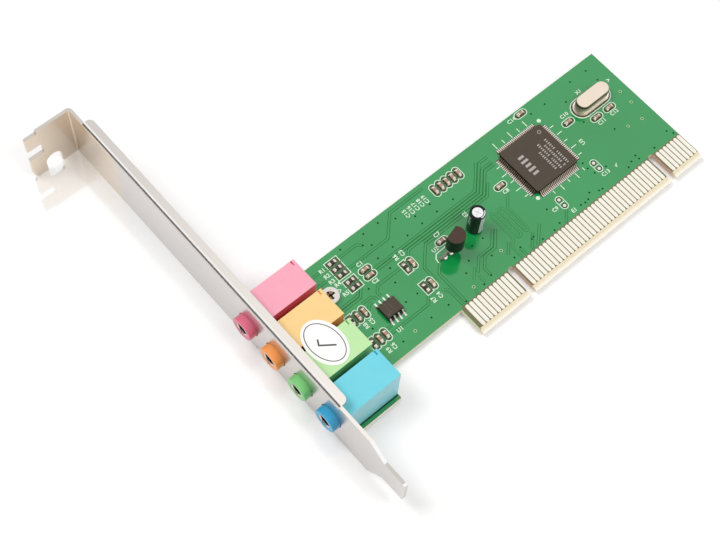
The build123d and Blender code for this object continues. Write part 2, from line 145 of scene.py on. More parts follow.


# glossy green solder mask on glass-epoxy laminate: bare tan cloth on cut edges, with painted shade in the key
# notches and a painted highlight on the bevel; dark resin between fingers
def masked_laminate():
    material, tree, place = surface("solder_mask_on_glass_epoxy")
    mask, _ = grain_colours(tree, place, 26.0, "038036", "1A9650", 1.0)
    # the cloth's threads are near 0.5 mm apart; drawn at 0.9 mm so that they show
    glass, _ = grain_colours(tree, place, 0.9, "D6C49E", "EEE4C8", 2.0, (1, 1, 6))
    # painted shade: the key notches' walls are painted a darker pinkish brown for the shade in the narrow
    # notches
    notch_shade, _ = grain_colours(tree, place, 0.9, "C8A28A", "E4C8B4", 2.0, (1, 1, 6))
    finger_gap, _ = grain_colours(tree, place, 0.6, "5C5336", "746A48", 2.0)
    # mask covers the level faces above the fingers, and on the board's foot beside the tab
    face = add(tree, "SeparateXYZ", {"Vector": add(tree, "NewGeometry").outputs["True Normal"]})
    level = add(tree, "Math", {0: face.outputs["Z"]}, operation="ABSOLUTE")
    level = add(tree, "Math", {0: level.outputs[0], 1: 0.97}, operation="GREATER_THAN")
    where = add(tree, "SeparateXYZ", {"Vector": place})
    foot = add(tree, "Math", {0: where.outputs["X"], 1: tab_start * MM}, operation="LESS_THAN")
    above_bevel = add(tree, "Math", {0: where.outputs["Y"], 1: finger_foot * MM}, operation="GREATER_THAN")
    inside = add(tree, "Math", {0: above_bevel.outputs[0], 1: foot.outputs[0]}, operation="MAXIMUM")
    flat = add(tree, "Math", {0: level.outputs[0], 1: inside.outputs[0]}, operation="MULTIPLY")
    masked = add(tree, "Math", {0: where.outputs["Y"], 1: finger_top * MM}, operation="GREATER_THAN")
    covered = add(tree, "Math", {0: masked.outputs[0], 1: foot.outputs[0]}, operation="MAXIMUM")
    top = add(tree, "Mix", {"Factor": covered.outputs[0], 6: finger_gap, 7: mask}, data_type="RGBA")
    # painted highlight: the ground bevel is painted paler towards the tab's end
    up_bevel = add(tree, "MapRange", {"Value": where.outputs["Y"],
                                      "From Min": (finger_foot - BEVEL_PALE) * MM,
                                      "From Max": (finger_foot - BEVEL_TAN) * MM})
    ground = add(tree, "Mix", {"Factor": up_bevel.outputs["Result"], 6: linear("FDF6EA"), 7: glass},
                 data_type="RGBA")
    # inside the tab only the key notches have walls, and they take the painted shade
    past_end = add(tree, "Math", {0: where.outputs["X"], 1: (tab_start + NOTCHES_FROM) * MM},
                   operation="GREATER_THAN")
    notch = add(tree, "Math", {0: above_bevel.outputs[0], 1: masked.outputs[0]}, operation="SUBTRACT")
    notch = add(tree, "Math", {0: notch.outputs[0], 1: past_end.outputs[0]}, operation="MULTIPLY")
    cut = add(tree, "Mix", {"Factor": notch.outputs[0], 6: ground.outputs[2], 7: notch_shade}, data_type="RGBA")
    whole = add(tree, "Mix", {"Factor": flat.outputs[0], 6: cut.outputs[2], 7: top.outputs[2]},
                data_type="RGBA")
    gloss = add(tree, "Math", {0: flat.outputs[0], 1: covered.outputs[0]}, operation="MULTIPLY")
    rough = add(tree, "MapRange", {"Value": gloss.outputs[0], "To Min": 0.6, "To Max": 0.1})
    peel = add(tree, "TexNoise", {"Vector": place, "Scale": per_metre(1.6), "Detail": 2.0})
    relief = add(tree, "Bump", {"Height": peel.outputs["Fac"], "Distance": 0.006 * MM})
    shader = add(tree, "BsdfPrincipled", {"Base Color": whole.outputs[2], "IOR": 1.8,
                                          "Roughness": rough.outputs["Result"],
                                          "Normal": relief.outputs["Normal"]})
    add(tree, "OutputMaterial", {"Surface": shader.outputs["BSDF"]})
    return material


# the same mask on a track or on bare laminate, so a shade lighter or darker; duller, it is unmasked resin
def mask_over(name, low, high, rough=0.14, ior=1.52):
    material, tree, place = surface(name)
    colour, _ = grain_colours(tree, place, 5.0, low, high, 2.0)
    peel = add(tree, "TexNoise", {"Vector": place, "Scale": per_metre(1.6), "Detail": 2.0})
    relief = add(tree, "Bump", {"Height": peel.outputs["Fac"], "Distance": 0.006 * MM})
    shader = add(tree, "BsdfPrincipled", {"Base Color": colour, "Roughness": rough, "IOR": ior,
                                          "Normal": relief.outputs["Normal"]})
    add(tree, "OutputMaterial", {"Surface": shader.outputs["BSDF"]})
    return material


# a dry, matt surface such as ink, paper or fired ceramic: two close shades in a fine, slightly raised grain
def dry_surface(name, low, high, size, rough, depth, ior=1.5):
    material, tree, place = surface(name)
    # the real grain is near 0.1 mm or finer; drawn at 0.3 mm or more so that it shows
    colour, grain = grain_colours(tree, place, size, low, high)
    relief = add(tree, "Bump", {"Height": grain, "Distance": depth * MM})
    shader = add(tree, "BsdfPrincipled", {"Base Color": colour, "Roughness": rough, "IOR": ior,
                                          "Normal": relief.outputs["Normal"]})
    add(tree, "OutputMaterial", {"Surface": shader.outputs["BSDF"]})
    return material


# filled epoxy, moulded: matt brownish top with a fine sandy grain, smoother on the drawn walls, which are
# painted darker as painted shade
def moulded_resin(name, low, high, wall):
    material, tree, place = surface(name)
    # the filler's grain is near 0.05 mm; drawn at 0.22 mm so that it shows
    sandy, grain = grain_colours(tree, place, 0.22, low, high)
    # painted shade: faces that don't look up take the dark wall colour
    face = add(tree, "SeparateXYZ", {"Vector": add(tree, "NewGeometry").outputs["Normal"]})
    upward = add(tree, "MapRange", {"Value": face.outputs["Z"], "From Min": 0.5, "From Max": 0.9})
    colour = add(tree, "Mix", {"Factor": upward.outputs["Result"], 6: linear(wall), 7: sandy},
                 data_type="RGBA")
    rough = add(tree, "MapRange", {"Value": upward.outputs["Result"], "To Min": 0.3, "To Max": 0.5})
    relief = add(tree, "Bump", {"Height": grain, "Distance": 0.01 * MM})
    shader = add(tree, "BsdfPrincipled", {"Base Color": colour.outputs[2], "IOR": 1.3,
                                          "Roughness": rough.outputs["Result"],
                                          "Normal": relief.outputs["Normal"]})
    add(tree, "OutputMaterial", {"Surface": shader.outputs["BSDF"]})
    return material


# moulded PBT: satin with a fine spark-eroded grain and flow clouds; its top painted pale as a painted sheen,
# its side wall and barrel in painted shades
def moulded_plastic(name, low, high, wall, barrel):
    material, tree, place = surface(name)
    pale, _ = grain_colours(tree, place, 6.0, low, high, 2.0)
    # painted shade: the wall that shows, toward the bracket's tail, is painted for the light between the
    # housings, and the barrel, ahead of the plate's back, is painted deeper for having no sheen
    face = add(tree, "SeparateXYZ", {"Vector": add(tree, "NewGeometry").outputs["True Normal"]})
    aside = add(tree, "Math", {0: face.outputs["Y"], 1: -0.9}, operation="LESS_THAN")
    housing = add(tree, "Mix", {"Factor": aside.outputs[0], 6: pale, 7: linear(wall)}, data_type="RGBA")
    where = add(tree, "SeparateXYZ", {"Vector": place})
    ahead = add(tree, "Math", {0: where.outputs["X"], 1: plate_back * MM}, operation="LESS_THAN")
    colour = add(tree, "Mix", {"Factor": ahead.outputs[0], 6: housing.outputs[2], 7: linear(barrel)},
                 data_type="RGBA")
    # the real grain is near 0.05 mm; drawn at 0.18 mm so that it shows
    grain = add(tree, "TexNoise", {"Vector": place, "Scale": per_metre(0.18), "Detail": 2.0})
    rough = add(tree, "MapRange", {"Value": grain.outputs["Fac"], "From Min": 0.3, "From Max": 0.7,
                                   "To Min": 0.28, "To Max": 0.38})
    relief = add(tree, "Bump", {"Height": grain.outputs["Fac"], "Distance": 0.006 * MM})
    shader = add(tree, "BsdfPrincipled", {"Base Color": colour.outputs[2], "IOR": 1.54,
                                          "Roughness": rough.outputs["Result"], "Subsurface Weight": 0.08,
                                          "Subsurface Scale": 0.4 * MM, "Normal": relief.outputs["Normal"]})
    add(tree, "OutputMaterial", {"Surface": shader.outputs["BSDF"]})
    return material


# a metal with a faint grain: its colour clouds and its polish varies; a bent lead's slope can take a painted
# shade
def metal(name, low, high, rough_low, rough_high, size=0.5, stretch=(1, 1, 1), depth=0.003, slope_shade=None):
    material, tree, place = surface(name)
    # a plate's real grain is under 0.1 mm; drawn at 0.4 mm or more so that it shows
    colour, grain = grain_colours(tree, place, size, low, high, 3.0, stretch)
    # painted shade: faces that slope away from the top take the darker slope colour
    if slope_shade:
        face = add(tree, "SeparateXYZ", {"Vector": add(tree, "NewGeometry").outputs["Normal"]})
        upward = add(tree, "MapRange", {"Value": face.outputs["Z"], "From Min": 0.5, "From Max": 0.75})
        colour = add(tree, "Mix", {"Factor": upward.outputs["Result"], 6: linear(slope_shade), 7: colour},
                     data_type="RGBA").outputs[2]
    rough = add(tree, "MapRange", {"Value": grain, "From Min": 0.3, "From Max": 0.7,
                                   "To Min": rough_low, "To Max": rough_high})
    relief = add(tree, "Bump", {"Height": grain, "Distance": depth * MM})
    shader = add(tree, "BsdfPrincipled", {"Base Color": colour, "Metallic": 1.0,
                                          "Roughness": rough.outputs["Result"],
                                          "Normal": relief.outputs["Normal"]})
    add(tree, "OutputMaterial", {"Surface": shader.outputs["BSDF"]})
    return material


# along the bracket, in mm: where its plate's painted warm reflection starts and is full, and from where to
# where its flange's painted shade runs
WARM_START, WARM_END = 72.8, 78.5
FLANGE_START, FLANGE_END = -30.0, 85.0


# zinc plate on cold-rolled steel: smooth silver grey with duller sheared edges, painted warm towards the tab
# as a painted reflection, with a painted shade along its flange
def plated_strip():
    material, tree, place = surface("zinc_plated_steel")
    cool, _ = grain_colours(tree, place, 14.0, "D0CCCA", "D6D2CF", 2.0)
    warm, _ = grain_colours(tree, place, 14.0, "DACAB7", "E3D5C5", 2.0)
    where = add(tree, "SeparateXYZ", {"Vector": place})
    near_tab = add(tree, "MapRange", {"Value": where.outputs["Y"], "From Min": WARM_START * MM,
                                      "From Max": WARM_END * MM})
    toward_tab = add(tree, "MapRange", {"Value": where.outputs["Y"], "From Min": FLANGE_START * MM,
                                        "From Max": FLANGE_END * MM})
    # painted reflection: the plate is painted warm near the tab
    plate = add(tree, "Mix", {"Factor": near_tab.outputs["Result"], 6: cool, 7: warm}, data_type="RGBA")
    # painted shade: the flange is painted pale at the jacks' end and darker towards the tab
    flange = add(tree, "Mix", {"Factor": toward_tab.outputs["Result"], 6: linear("FFF9F1"),
                               7: linear("D5CFCA")}, data_type="RGBA")
    # upward faces are the flange and, lower down, sheared edges
    face = add(tree, "SeparateXYZ", {"Vector": add(tree, "NewGeometry").outputs["True Normal"]})
    upward = add(tree, "Math", {0: face.outputs["Z"], 1: 0.9}, operation="GREATER_THAN")
    low_down = add(tree, "Math", {0: where.outputs["Z"], 1: flange_level * MM}, operation="LESS_THAN")
    level = add(tree, "Mix", {"Factor": low_down.outputs[0], 6: flange.outputs[2], 7: linear("CFC9C1")},
                data_type="RGBA")
    colour = add(tree, "Mix", {"Factor": upward.outputs[0], 6: plate.outputs[2], 7: level.outputs[2]},
                 data_type="RGBA")
    # painted highlight: the fold's outer bend is painted near-white for the bright strip it shows
    turned = add(tree, "SeparateXYZ", {"Vector": add(tree, "NewGeometry").outputs["Normal"]})
    past_flat = add(tree, "Math", {0: turned.outputs["Z"], 1: 0.975}, operation="LESS_THAN")
    bent = add(tree, "Math", {0: turned.outputs["Z"], 1: 0.6}, operation="GREATER_THAN")
    bent = add(tree, "Math", {0: bent.outputs[0], 1: past_flat.outputs[0]}, operation="MULTIPLY")
    colour = add(tree, "Mix", {"Factor": bent.outputs[0], 6: colour.outputs[2], 7: linear("FBFAF8")},
                 data_type="RGBA")
    # rolling lines are near 0.05 mm apart; drawn at 0.3 mm so that they show
    lines = add(tree, "Mapping", {"Vector": place, "Scale": (1.0, 0.02, 1.0)})
    rolled = add(tree, "TexNoise", {"Vector": lines.outputs["Vector"], "Scale": per_metre(0.3),
                                    "Detail": 2.0})
    rough = add(tree, "MapRange", {"Value": rolled.outputs["Fac"], "From Min": 0.3, "From Max": 0.7,
                                   "To Min": 0.275, "To Max": 0.285})
    relief = add(tree, "Bump", {"Height": rolled.outputs["Fac"], "Distance": 0.00008 * MM})
    shader = add(tree, "BsdfPrincipled", {"Base Color": colour.outputs[2], "Metallic": 1.0,
                                          "Roughness": rough.outputs["Result"],
                                          "Normal": relief.outputs["Normal"]})
    add(tree, "OutputMaterial", {"Surface": shader.outputs["BSDF"]})
    return material


# nickel plate on a deep-drawn can: bright pinkish top, with a satin wall painted dark under the rolled edge
# and pale at its foot, as painted shade and highlight
def drawn_can(foot, brim):
    material, tree, place = surface("nickel_plated_can")
    crown, grain = grain_colours(tree, place, 3.0, "EDD9C6", "F5E8D8")
    where = add(tree, "SeparateXYZ", {"Vector": place})
    face = add(tree, "SeparateXYZ", {"Vector": add(tree, "NewGeometry").outputs["Normal"]})
    up_wall = add(tree, "MapRange", {"Value": where.outputs["Z"], "From Min": foot * MM,
                                     "From Max": brim * MM})
    # painted reflection: the end that faces the bracket is painted dark for the dark side of the room that it
    # mirrors
    endward = add(tree, "MapRange", {"Value": face.outputs["X"], "From Min": -0.2, "From Max": -0.9,
                                     "To Max": 0.75})
    dark = add(tree, "Math", {0: up_wall.outputs["Result"], 1: endward.outputs["Result"]},
               operation="MAXIMUM")
    wall = add(tree, "Mix", {"Factor": dark.outputs[0], 6: linear("FFF6E4"), 7: linear("5E5040")},
               data_type="RGBA")
    upward = add(tree, "MapRange", {"Value": face.outputs["Z"], "From Min": 0.5, "From Max": 0.9})
    colour = add(tree, "Mix", {"Factor": upward.outputs["Result"], 6: wall.outputs[2], 7: crown},
                 data_type="RGBA")
    rough = add(tree, "MapRange", {"Value": upward.outputs["Result"], "To Min": 0.5, "To Max": 0.17})
    relief = add(tree, "Bump", {"Height": grain, "Distance": 0.001 * MM})
    shader = add(tree, "BsdfPrincipled", {"Base Color": colour.outputs[2], "Metallic": 1.0,
                                          "Roughness": rough.outputs["Result"],
                                          "Normal": relief.outputs["Normal"]})
    add(tree, "OutputMaterial", {"Surface": shader.outputs["BSDF"]})
    return material


# shrunk PVC film: glossy black with a soft ripple from the shrinking
def shrunk_film():
    material, tree, place = surface("shrunk_pvc_film")
    colour, ripple = grain_colours(tree, place, 1.4, "0A0B0B", "131616", 1.0)
    relief = add(tree, "Bump", {"Height": ripple, "Distance": 0.02 * MM})
    shader = add(tree, "BsdfPrincipled", {"Base Color": colour, "Roughness": 0.22, "IOR": 1.36,
                                          "Normal": relief.outputs["Normal"]})
    add(tree, "OutputMaterial", {"Surface": shader.outputs["BSDF"]})
    return material


def loose_solids(node):
    """What extent gives, for each separate solid in a CAD node, in order along X."""
    mesh = bmesh.new()
    mesh.from_mesh(nodes[node].data)
    bmesh.ops.remove_doubles(mesh, verts=mesh.verts, dist=WELD_DISTANCE)
    left, boxes = set(mesh.verts), []
    while left:
        group, edge = set(), [left.pop()]
        while edge:
            vert = edge.pop()
            group.add(vert)
            for link in vert.link_edges:
                other = link.other_vert(vert)
                if other in left:
                    left.remove(other)
                    edge.append(other)
        spots = [v.co / MM for v in group]
        low = Vector([min(s[i] for s in spots) for i in range(3)])
        high = Vector([max(s[i] for s in spots) for i in range(3)])
        boxes.append((low, high, (low + high) / 2))
    mesh.free()
    return sorted(boxes, key=lambda box: tuple(box[0]))


def take_in(piece, slot, *replaced):
    """Links a finished piece to the scene, and to the card's one body."""
    bpy.context.scene.collection.objects.link(piece)
    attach(piece, "root")
    if replaced:
        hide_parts(*replaced)
    return piece


def solid_piece(name, points, faces, material, slot, *replaced, smooth=False):
    """A mesh piece from points in mm."""
    mesh = bpy.data.meshes.new(name)
    mesh.from_pydata([Vector(p) * MM for p in points], [], faces)
    mesh.validate()
    shape = bmesh.new()
    shape.from_mesh(mesh)
    bmesh.ops.recalc_face_normals(shape, faces=shape.faces)
    shape.to_mesh(mesh)
    shape.free()
    for face in mesh.polygons:
        face.use_smooth = smooth
    mesh.materials.append(material)
    return take_in(bpy.data.objects.new(name, mesh), slot, *replaced)


def flat_piece(name, shapes, level, material, slot, under=False):
    """Thin printed or etched shapes at one level, in mm; those on the underside face down."""
    points, faces = [], []
    for shape in shapes:
        turn = sum(a[0] * b[1] - b[0] * a[1] for a, b in zip(shape, shape[1:] + shape[:1]))
        ordered = shape if (turn > 0) != under else shape[::-1]
        faces.append(list(range(len(points), len(points) + len(ordered))))
        points += [(x, y, level) for x, y in ordered]
    mesh = bpy.data.meshes.new(name)
    mesh.from_pydata([Vector(p) * MM for p in points], [], faces)
    mesh.materials.append(material)
    return take_in(bpy.data.objects.new(name, mesh), slot)


def lofted(rings, closed_start=True, closed_end=True):
    """Points and faces of a skin over rings of equal count, capped at the ends asked for."""
    count = len(rings[0])
    faces = []
    for level in range(len(rings) - 1):
        for i in range(count):
            a, b = level * count + i, level * count + (i + 1) % count
            faces.append([a, b, b + count, a + count])
    if closed_start:
        faces.append(list(range(count))[::-1])
    if closed_end:
        faces.append([(len(rings) - 1) * count + i for i in range(count)])
    return [point for ring in rings for point in ring], faces


def joined(shapes):
    """Several shapes of points and faces as one."""
    points, faces = [], []
    for more_points, more_faces in shapes:
        faces += [[i + len(points) for i in face] for face in more_faces]
        points += more_points
    return points, faces


def ribbon(path, width, closed=False):
    """A stripe of even width along a path, as four-sided shapes, mitred to at most twice its half width."""
    count = len(path)
    left, right = [], []
    for i, (x, y) in enumerate(path):
        before = path[i - 1] if i or closed else None
        after = path[(i + 1) % count] if i < count - 1 or closed else None
        ways = []
        for a, b in ((before, (x, y)), ((x, y), after)):
            if a and b and math.dist(a, b) > SAME_POINT:
                ways.append(((b[0] - a[0]) / math.dist(a, b), (b[1] - a[1]) / math.dist(a, b)))
        way = Vector([sum(w[0] for w in ways), sum(w[1] for w in ways)]).normalized()
        reach = width / 2 / max(0.5, way.x * ways[0][0] + way.y * ways[0][1])
        left.append((x - way.y * reach, y + way.x * reach))
        right.append((x + way.y * reach, y - way.x * reach))
    runs = range(count if closed else count - 1)
    return [[left[i], right[i], right[(i + 1) % count], left[(i + 1) % count]] for i in runs]


def ribbons(paths, width):
    """Stripes of one width along several paths."""
    return [shape for path in paths for shape in ribbon(path, width)]


def round_path(x, y, across, up, corners=5):
    """Points round a shape with fully rounded ends, longer along X or Y as its sizes say."""
    radius = min(across, up) / 2
    path = []
    for start, sx, sy in ((0, 1, 1), (90, -1, 1), (180, -1, -1), (270, 1, -1)):
        for step in range(corners + 1):
            angle = math.radians(start + 90 * step / corners)
            point = (x + sx * (across / 2 - radius) + radius * math.cos(angle),
                     y + sy * (up / 2 - radius) + radius * math.sin(angle))
            if not path or math.dist(point, path[-1]) > SAME_POINT:
                path.append(point)
    return path[:-1] if math.dist(path[0], path[-1]) < SAME_POINT else path


def square_path(x, y, across, up):
    """The four corners of a rectangle."""
    return [(x + sx * across / 2, y + sy * up / 2) for sx, sy in ((1, 1), (-1, 1), (-1, -1), (1, -1))]


def disc(x, y, radius, sides=16):
    """Points round a circle."""
    return [(x + radius * math.cos(math.tau * i / sides), y + radius * math.sin(math.tau * i / sides))
            for i in range(sides)]


def turned(axis, profile, sides=16, closed=True):
    """Points and faces of a round form about an upright axis, from pairs of radius and height."""
    rings = [[(x, y, level) for x, y in disc(axis.x, axis.y, radius, sides)] for radius, level in profile]
    return lofted(rings, closed, closed)


# a letter's font size and the swell of its strokes, as shares of its height
FONT_SIZE = 1.4
STROKE_SWELL = 0.035


def lettering(words, x, y, height, turn=0.0):
    """Flat shapes of a short part mark, centred on x and y in mm."""
    curve = bpy.data.curves.new("mark", "FONT")
    curve.body = words
    curve.size = height * FONT_SIZE
    curve.align_x, curve.align_y = "CENTER", "CENTER"
    curve.resolution_u = 2
    curve.offset = height * STROKE_SWELL
    holder = bpy.data.objects.new("mark", curve)
    mesh = bpy.data.meshes.new_from_object(holder)
    spin = Matrix.Rotation(math.radians(turn), 2)
    spots = [spin @ v.co.xy + Vector((x, y)) for v in mesh.vertices]
    shapes = [[tuple(spots[i]) for i in face.vertices] for face in mesh.polygons]
    bpy.data.objects.remove(holder)
    bpy.data.curves.remove(curve)
    bpy.data.meshes.remove(mesh)
    return shapes


def soften(piece, width):
    """Breaks a piece's sharp edges by that many mm, without touching its own mesh."""
    weld = piece.modifiers.new("join", "WELD")
    weld.merge_threshold = WELD_DISTANCE
    broken = piece.modifiers.new("edge_break", "BEVEL")
    broken.width = width * MM
    broken.segments = 2
    broken.limit_method = "ANGLE"
    broken.angle_limit = math.radians(35)
    piece.modifiers.new("even_shading", "WEIGHTED_NORMAL")


def dress(node, material):
    """Gives a CAD node its finish."""
    nodes[node].data.materials.clear()
    nodes[node].data.materials.append(material)


# finishes
laminate = masked_laminate()
clearance_mask = mask_over("solder_mask_on_bare_laminate", "07632B", "0A6C32")
track_mask = mask_over("solder_mask_on_copper", "038A3A", "0E9446", 0.1, 1.8)
# unmasked laminate round the pads: dull brown resin; the same colour is painted shadow by the amplifier and
# at the crystal's foot
bare_laminate_and_shade = mask_over("bare_laminate_and_painted_shade", "3A3020", "4C402C", 0.4)
# each jack's plastic: two top tones carrying the painted sheen, then the painted shades of its side wall and
# barrel
jack_plastics = {
    "pink": moulded_plastic("pink_moulded_pbt", "EB9DB0", "F0A9B8", "E05A6E", "DC6A85"),
    "orange": moulded_plastic("orange_moulded_pbt", "EFC783", "F1CE90", "F09040", "F49A52"),
    "green": moulded_plastic("green_moulded_pbt", "B4DD9F", "BEE3AB", "7CC27C", "7CCA7A"),
    "blue": moulded_plastic("blue_moulded_pbt", "68C8D8", "76D0DD", "88D0DC", "349FCC"),
}
# screen-printed epoxy ink: matt white, thin enough for the green to show through in specks
white_ink = dry_surface("screen_printed_ink", "B6DAB8", "F2F8EA", 0.5, 0.55, 0.01)
# walls in painted shade, darker on the amplifier than on the big chip; the regulator is redder, with walls
# painted near-black
resin = moulded_resin("filled_epoxy_resin", "433B34", "554C42", "211A15")
dark_resin = moulded_resin("dark_epoxy_resin", "433B33", "534A40", "100C0A")
brown_resin = moulded_resin("red_brown_epoxy_resin", "3E3029", "4E3F36", "0A0707")
# fired ceramics: chalky tan body with darker specks, and a black glassy film
tan_ceramic = dry_surface("tan_ceramic_capacitor", "9A7A66", "BC9C88", 0.3, 0.5, 0.008)
black_glaze = dry_surface("black_resistor_glaze", "2B2624", "3B3431", 0.3, 0.35, 0.008)
# coated label paper with a faint fibre cloud, and what is printed or burnt on labels, film and resin
paper = dry_surface("coated_label_paper", "F3F1EC", "FBFAF7", 0.35, 0.6, 0.004)
grey_ink = dry_surface("dark_label_ink", "4B4A4C", "5C5B5D", 0.35, 0.6, 0.004)
faint_mark = dry_surface("faint_laser_mark", "4C443F", "584F49", 0.35, 0.6, 0.004)
laser_mark = dry_surface("laser_marked_resin", "9C948E", "B9B2AC", 0.35, 0.6, 0.004)
pale_film = dry_surface("printed_film_stripe", "B9C0C2", "D2D8D9", 0.35, 0.4, 0.004)
# brown spots on the screw's head
brown_spots = dry_surface("brown_head_spots", "5E4434", "A88A72", 0.7, 0.4, 0.01)
# painted shade: dull dark colours for the floors of the screw's recess and of the plated holes, and for the
# strip by the blue housing
recess_dark = dry_surface("shaded_recess", "34251E", "443229", 0.35, 0.9, 0.004, 1.05)
hole_dark = dry_surface("shaded_hole", "123A20", "184628", 0.35, 0.9, 0.004, 1.05)
film = shrunk_film()
# tin plate: bright on plain leads, warm on the big chip's, with painted shade on both chips' lead bends, and
# grey on the legs and springs
tin = metal("bright_tin_plate", "E2DFDA", "F2F0EC", 0.22, 0.36)
warm_tin = metal("tin_over_copper_leads", "DCCDB8", "F0E5D4", 0.24, 0.38, slope_shade="8E7A68")
bent_tin = metal("tin_plate_painted_dark_at_bends", "E6EBDD", "F8FBF2", 0.22, 0.36, slope_shade="54463A")
leg_tin = metal("dull_tin_legs", "A8A097", "BFB8AE", 0.26, 0.4)
contact_tin = metal("tinned_phosphor_bronze", "A89A86", "CDBFA8", 0.25, 0.4)
# solder that has flowed, bright and smooth, and the creamier tin on the chips' fired ends
solder_tin = metal("reflowed_solder", "E0DDD8", "F6F4F0", 0.14, 0.3, 0.8)
dull_tin = metal("fired_tin_cap", "E0D6C4", "F2EADC", 0.22, 0.36, 0.8)
# white, even aluminium, greyer where it is scored
aluminium = metal("drawn_aluminium", "EEEEEE", "FAFAFA", 0.2, 0.32, 0.4)
scored = metal("scored_aluminium", "BDBDBF", "CDCDCF", 0.3, 0.4)
# nickel: warm and satin on the crystal's rim, handled and cloudy on the screw, bright at the bushes' lips
nickel = metal("nickel_plated_rim", "FAF2E2", "FFFAF0", 0.3, 0.4, 3.0, depth=0.001)
screw_plate = metal("nickel_plated_screw", "CEC6BE", "F2EEEA", 0.16, 0.28, 0.6)
bush_plate = metal("nickel_plated_bush", "C9BFB8", "E6DED9", 0.2, 0.34)
# bronze deep in the jacks, painted near-black as painted shade
bronze = metal("shaded_bronze_bush", "231C18", "3A3029", 0.25, 0.4)
# pale flash gold with its grain along the fingers
gold = metal("flash_gold_plate", "F5EFDE", "FDFAEF", 0.24, 0.36, 0.8, (1, 0.2, 1))
# tinned copper, greened by a skin of mask
copper_ring = metal("tinned_copper_ring", "A6CC92", "C4DEAE", 0.3, 0.45)
steel = plated_strip()

for colour, plastic in jack_plastics.items():
    dress(colour + "_jack_housing", plastic)
    for metalwork in ("sleeve_contact", "tip_spring", "ring_spring"):
        dress(colour + "_jack_" + metalwork, contact_tin)
for node, finish in {
    "audio_chip_body": resin, "amplifier_body": dark_resin, "regulator_body": brown_resin,
    "audio_chip_leads": warm_tin, "amplifier_leads": bent_tin, "regulator_leads": leg_tin,
    "capacitor_leads": tin, "crystal_leads": tin, "chip_end_caps": dull_tin,
    "chip_capacitors": tan_ceramic, "chip_resistors": black_glaze, "capacitor_can": aluminium,
    "capacitor_sleeve": film, "crystal_can": nickel, "crystal_rim": nickel, "circuit_board": laminate,
    "edge_contacts_front": gold, "edge_contacts_back": gold, "soldered_joints": solder_tin,
    "slot_bracket": steel, "board_screw": screw_plate, "inspection_sticker": paper,
}.items():
    dress(node, finish)
# moulded and sheared edges are broken by these widths, in mm
for node, width in {"crystal_rim": 0.15, "board_screw": 0.12, "slot_bracket": 0.12,
                    "audio_chip_body": 0.12, "amplifier_body": 0.1, "regulator_body": 0.15,
                    "capacitor_sleeve": 0.2, "chip_capacitors": 0.06, "chip_resistors": 0.04,
                    "chip_end_caps": 0.05}.items():
    soften(nodes[node], width)

# chip outlines in ink, round-ended for capacitors and square for resistors, round a brown opening in the mask
ink, pads, openings_and_shade = [], [], []
OUTLINE_LENGTH = 3.75
OUTLINE_WIDTH = 1.92
INK_LINE = 0.2
OPENING_INSET = 0.5
for node, path in (("chip_capacitors", round_path), ("chip_resistors", square_path)):
    for low, high, middle in loose_solids(node):
        size = high - low
        sides = (OUTLINE_LENGTH, OUTLINE_WIDTH) if size.x > size.y else (OUTLINE_WIDTH, OUTLINE_LENGTH)
        ink += ribbon(path(middle.x, middle.y, *sides), INK_LINE, closed=True)
        openings_and_shade.append(path(middle.x, middle.y, *(side - OPENING_INSET for side in sides)))

# solder drawn up each chip's two metal ends, with a hollow face; its rise is a share of the end's height
FILLET_REACH = 0.55
FILLET_RISE = 0.75
FILLET_SPREAD = 0.08
FILLET_ROOT = 0.1
HOLLOW_OUT, HOLLOW_UP = 0.45, 0.35
fillets = []
chips = [chip for _, _, chip in loose_solids("chip_capacitors") + loose_solids("chip_resistors")]
for low, high, middle in loose_solids("chip_end_caps"):
    size = high - low
    away = middle - min(chips, key=lambda chip: (chip - middle).length)
    if abs(away.x) > abs(away.y):
        away, reach, half = Vector((math.copysign(1, away.x), 0, 0)), size.x / 2, size.y / 2
    else:
        away, reach, half = Vector((0, math.copysign(1, away.y), 0)), size.y / 2, size.x / 2
    side = Vector((-away.y, away.x, 0))
    rise = size.z * FILLET_RISE
    profile = ((-FILLET_ROOT, PAD_LEVEL), (FILLET_REACH, PAD_LEVEL),
               (FILLET_REACH * HOLLOW_OUT, rise * HOLLOW_UP), (0.0, rise), (-FILLET_ROOT, rise))
    ends = []
    for across in (-half - FILLET_SPREAD, half + FILLET_SPREAD):
        spots = [(middle + away * (reach + out) + side * across, up) for out, up in profile]
        ends.append([(spot.x, spot.y, up) for spot, up in spots])
    fillets.append(lofted(ends))
solid_piece("chip_solder_fillets", *joined(fillets), dull_tin, "solder", smooth=True)

# windows in the mask under the big chip's four rows of leads, set in from their ends and short of the corners
WINDOW_WIDTH = 1.7
WINDOW_INSET = 0.4
WINDOW_SHORT = 3.2
row_low, row_high, row_middle = extent("audio_chip_leads")
row_size = row_high - row_low
for side in (-1, 1):
    x = row_middle.x + side * (row_size.x / 2 - WINDOW_INSET)
    y = row_middle.y + side * (row_size.y / 2 - WINDOW_INSET)
    openings_and_shade.append(square_path(x, row_middle.y, WINDOW_WIDTH, row_size.y - WINDOW_SHORT))
    openings_and_shade.append(square_path(row_middle.x, y, row_size.x - WINDOW_SHORT, WINDOW_WIDTH))

# painted shadow: dark strips of the same brown along the amplifier's two rows, close to its body, for the
# shade under it
SMALL_SHADE_STRIP = 0.75
SMALL_SHADE_OUT = 0.3
small_low, small_high, small = extent("amplifier_body")
for y in (small_low.y - SMALL_SHADE_OUT, small_high.y + SMALL_SHADE_OUT):
    openings_and_shade.append(square_path(small.x, y, small_high.x - small_low.x, SMALL_SHADE_STRIP))

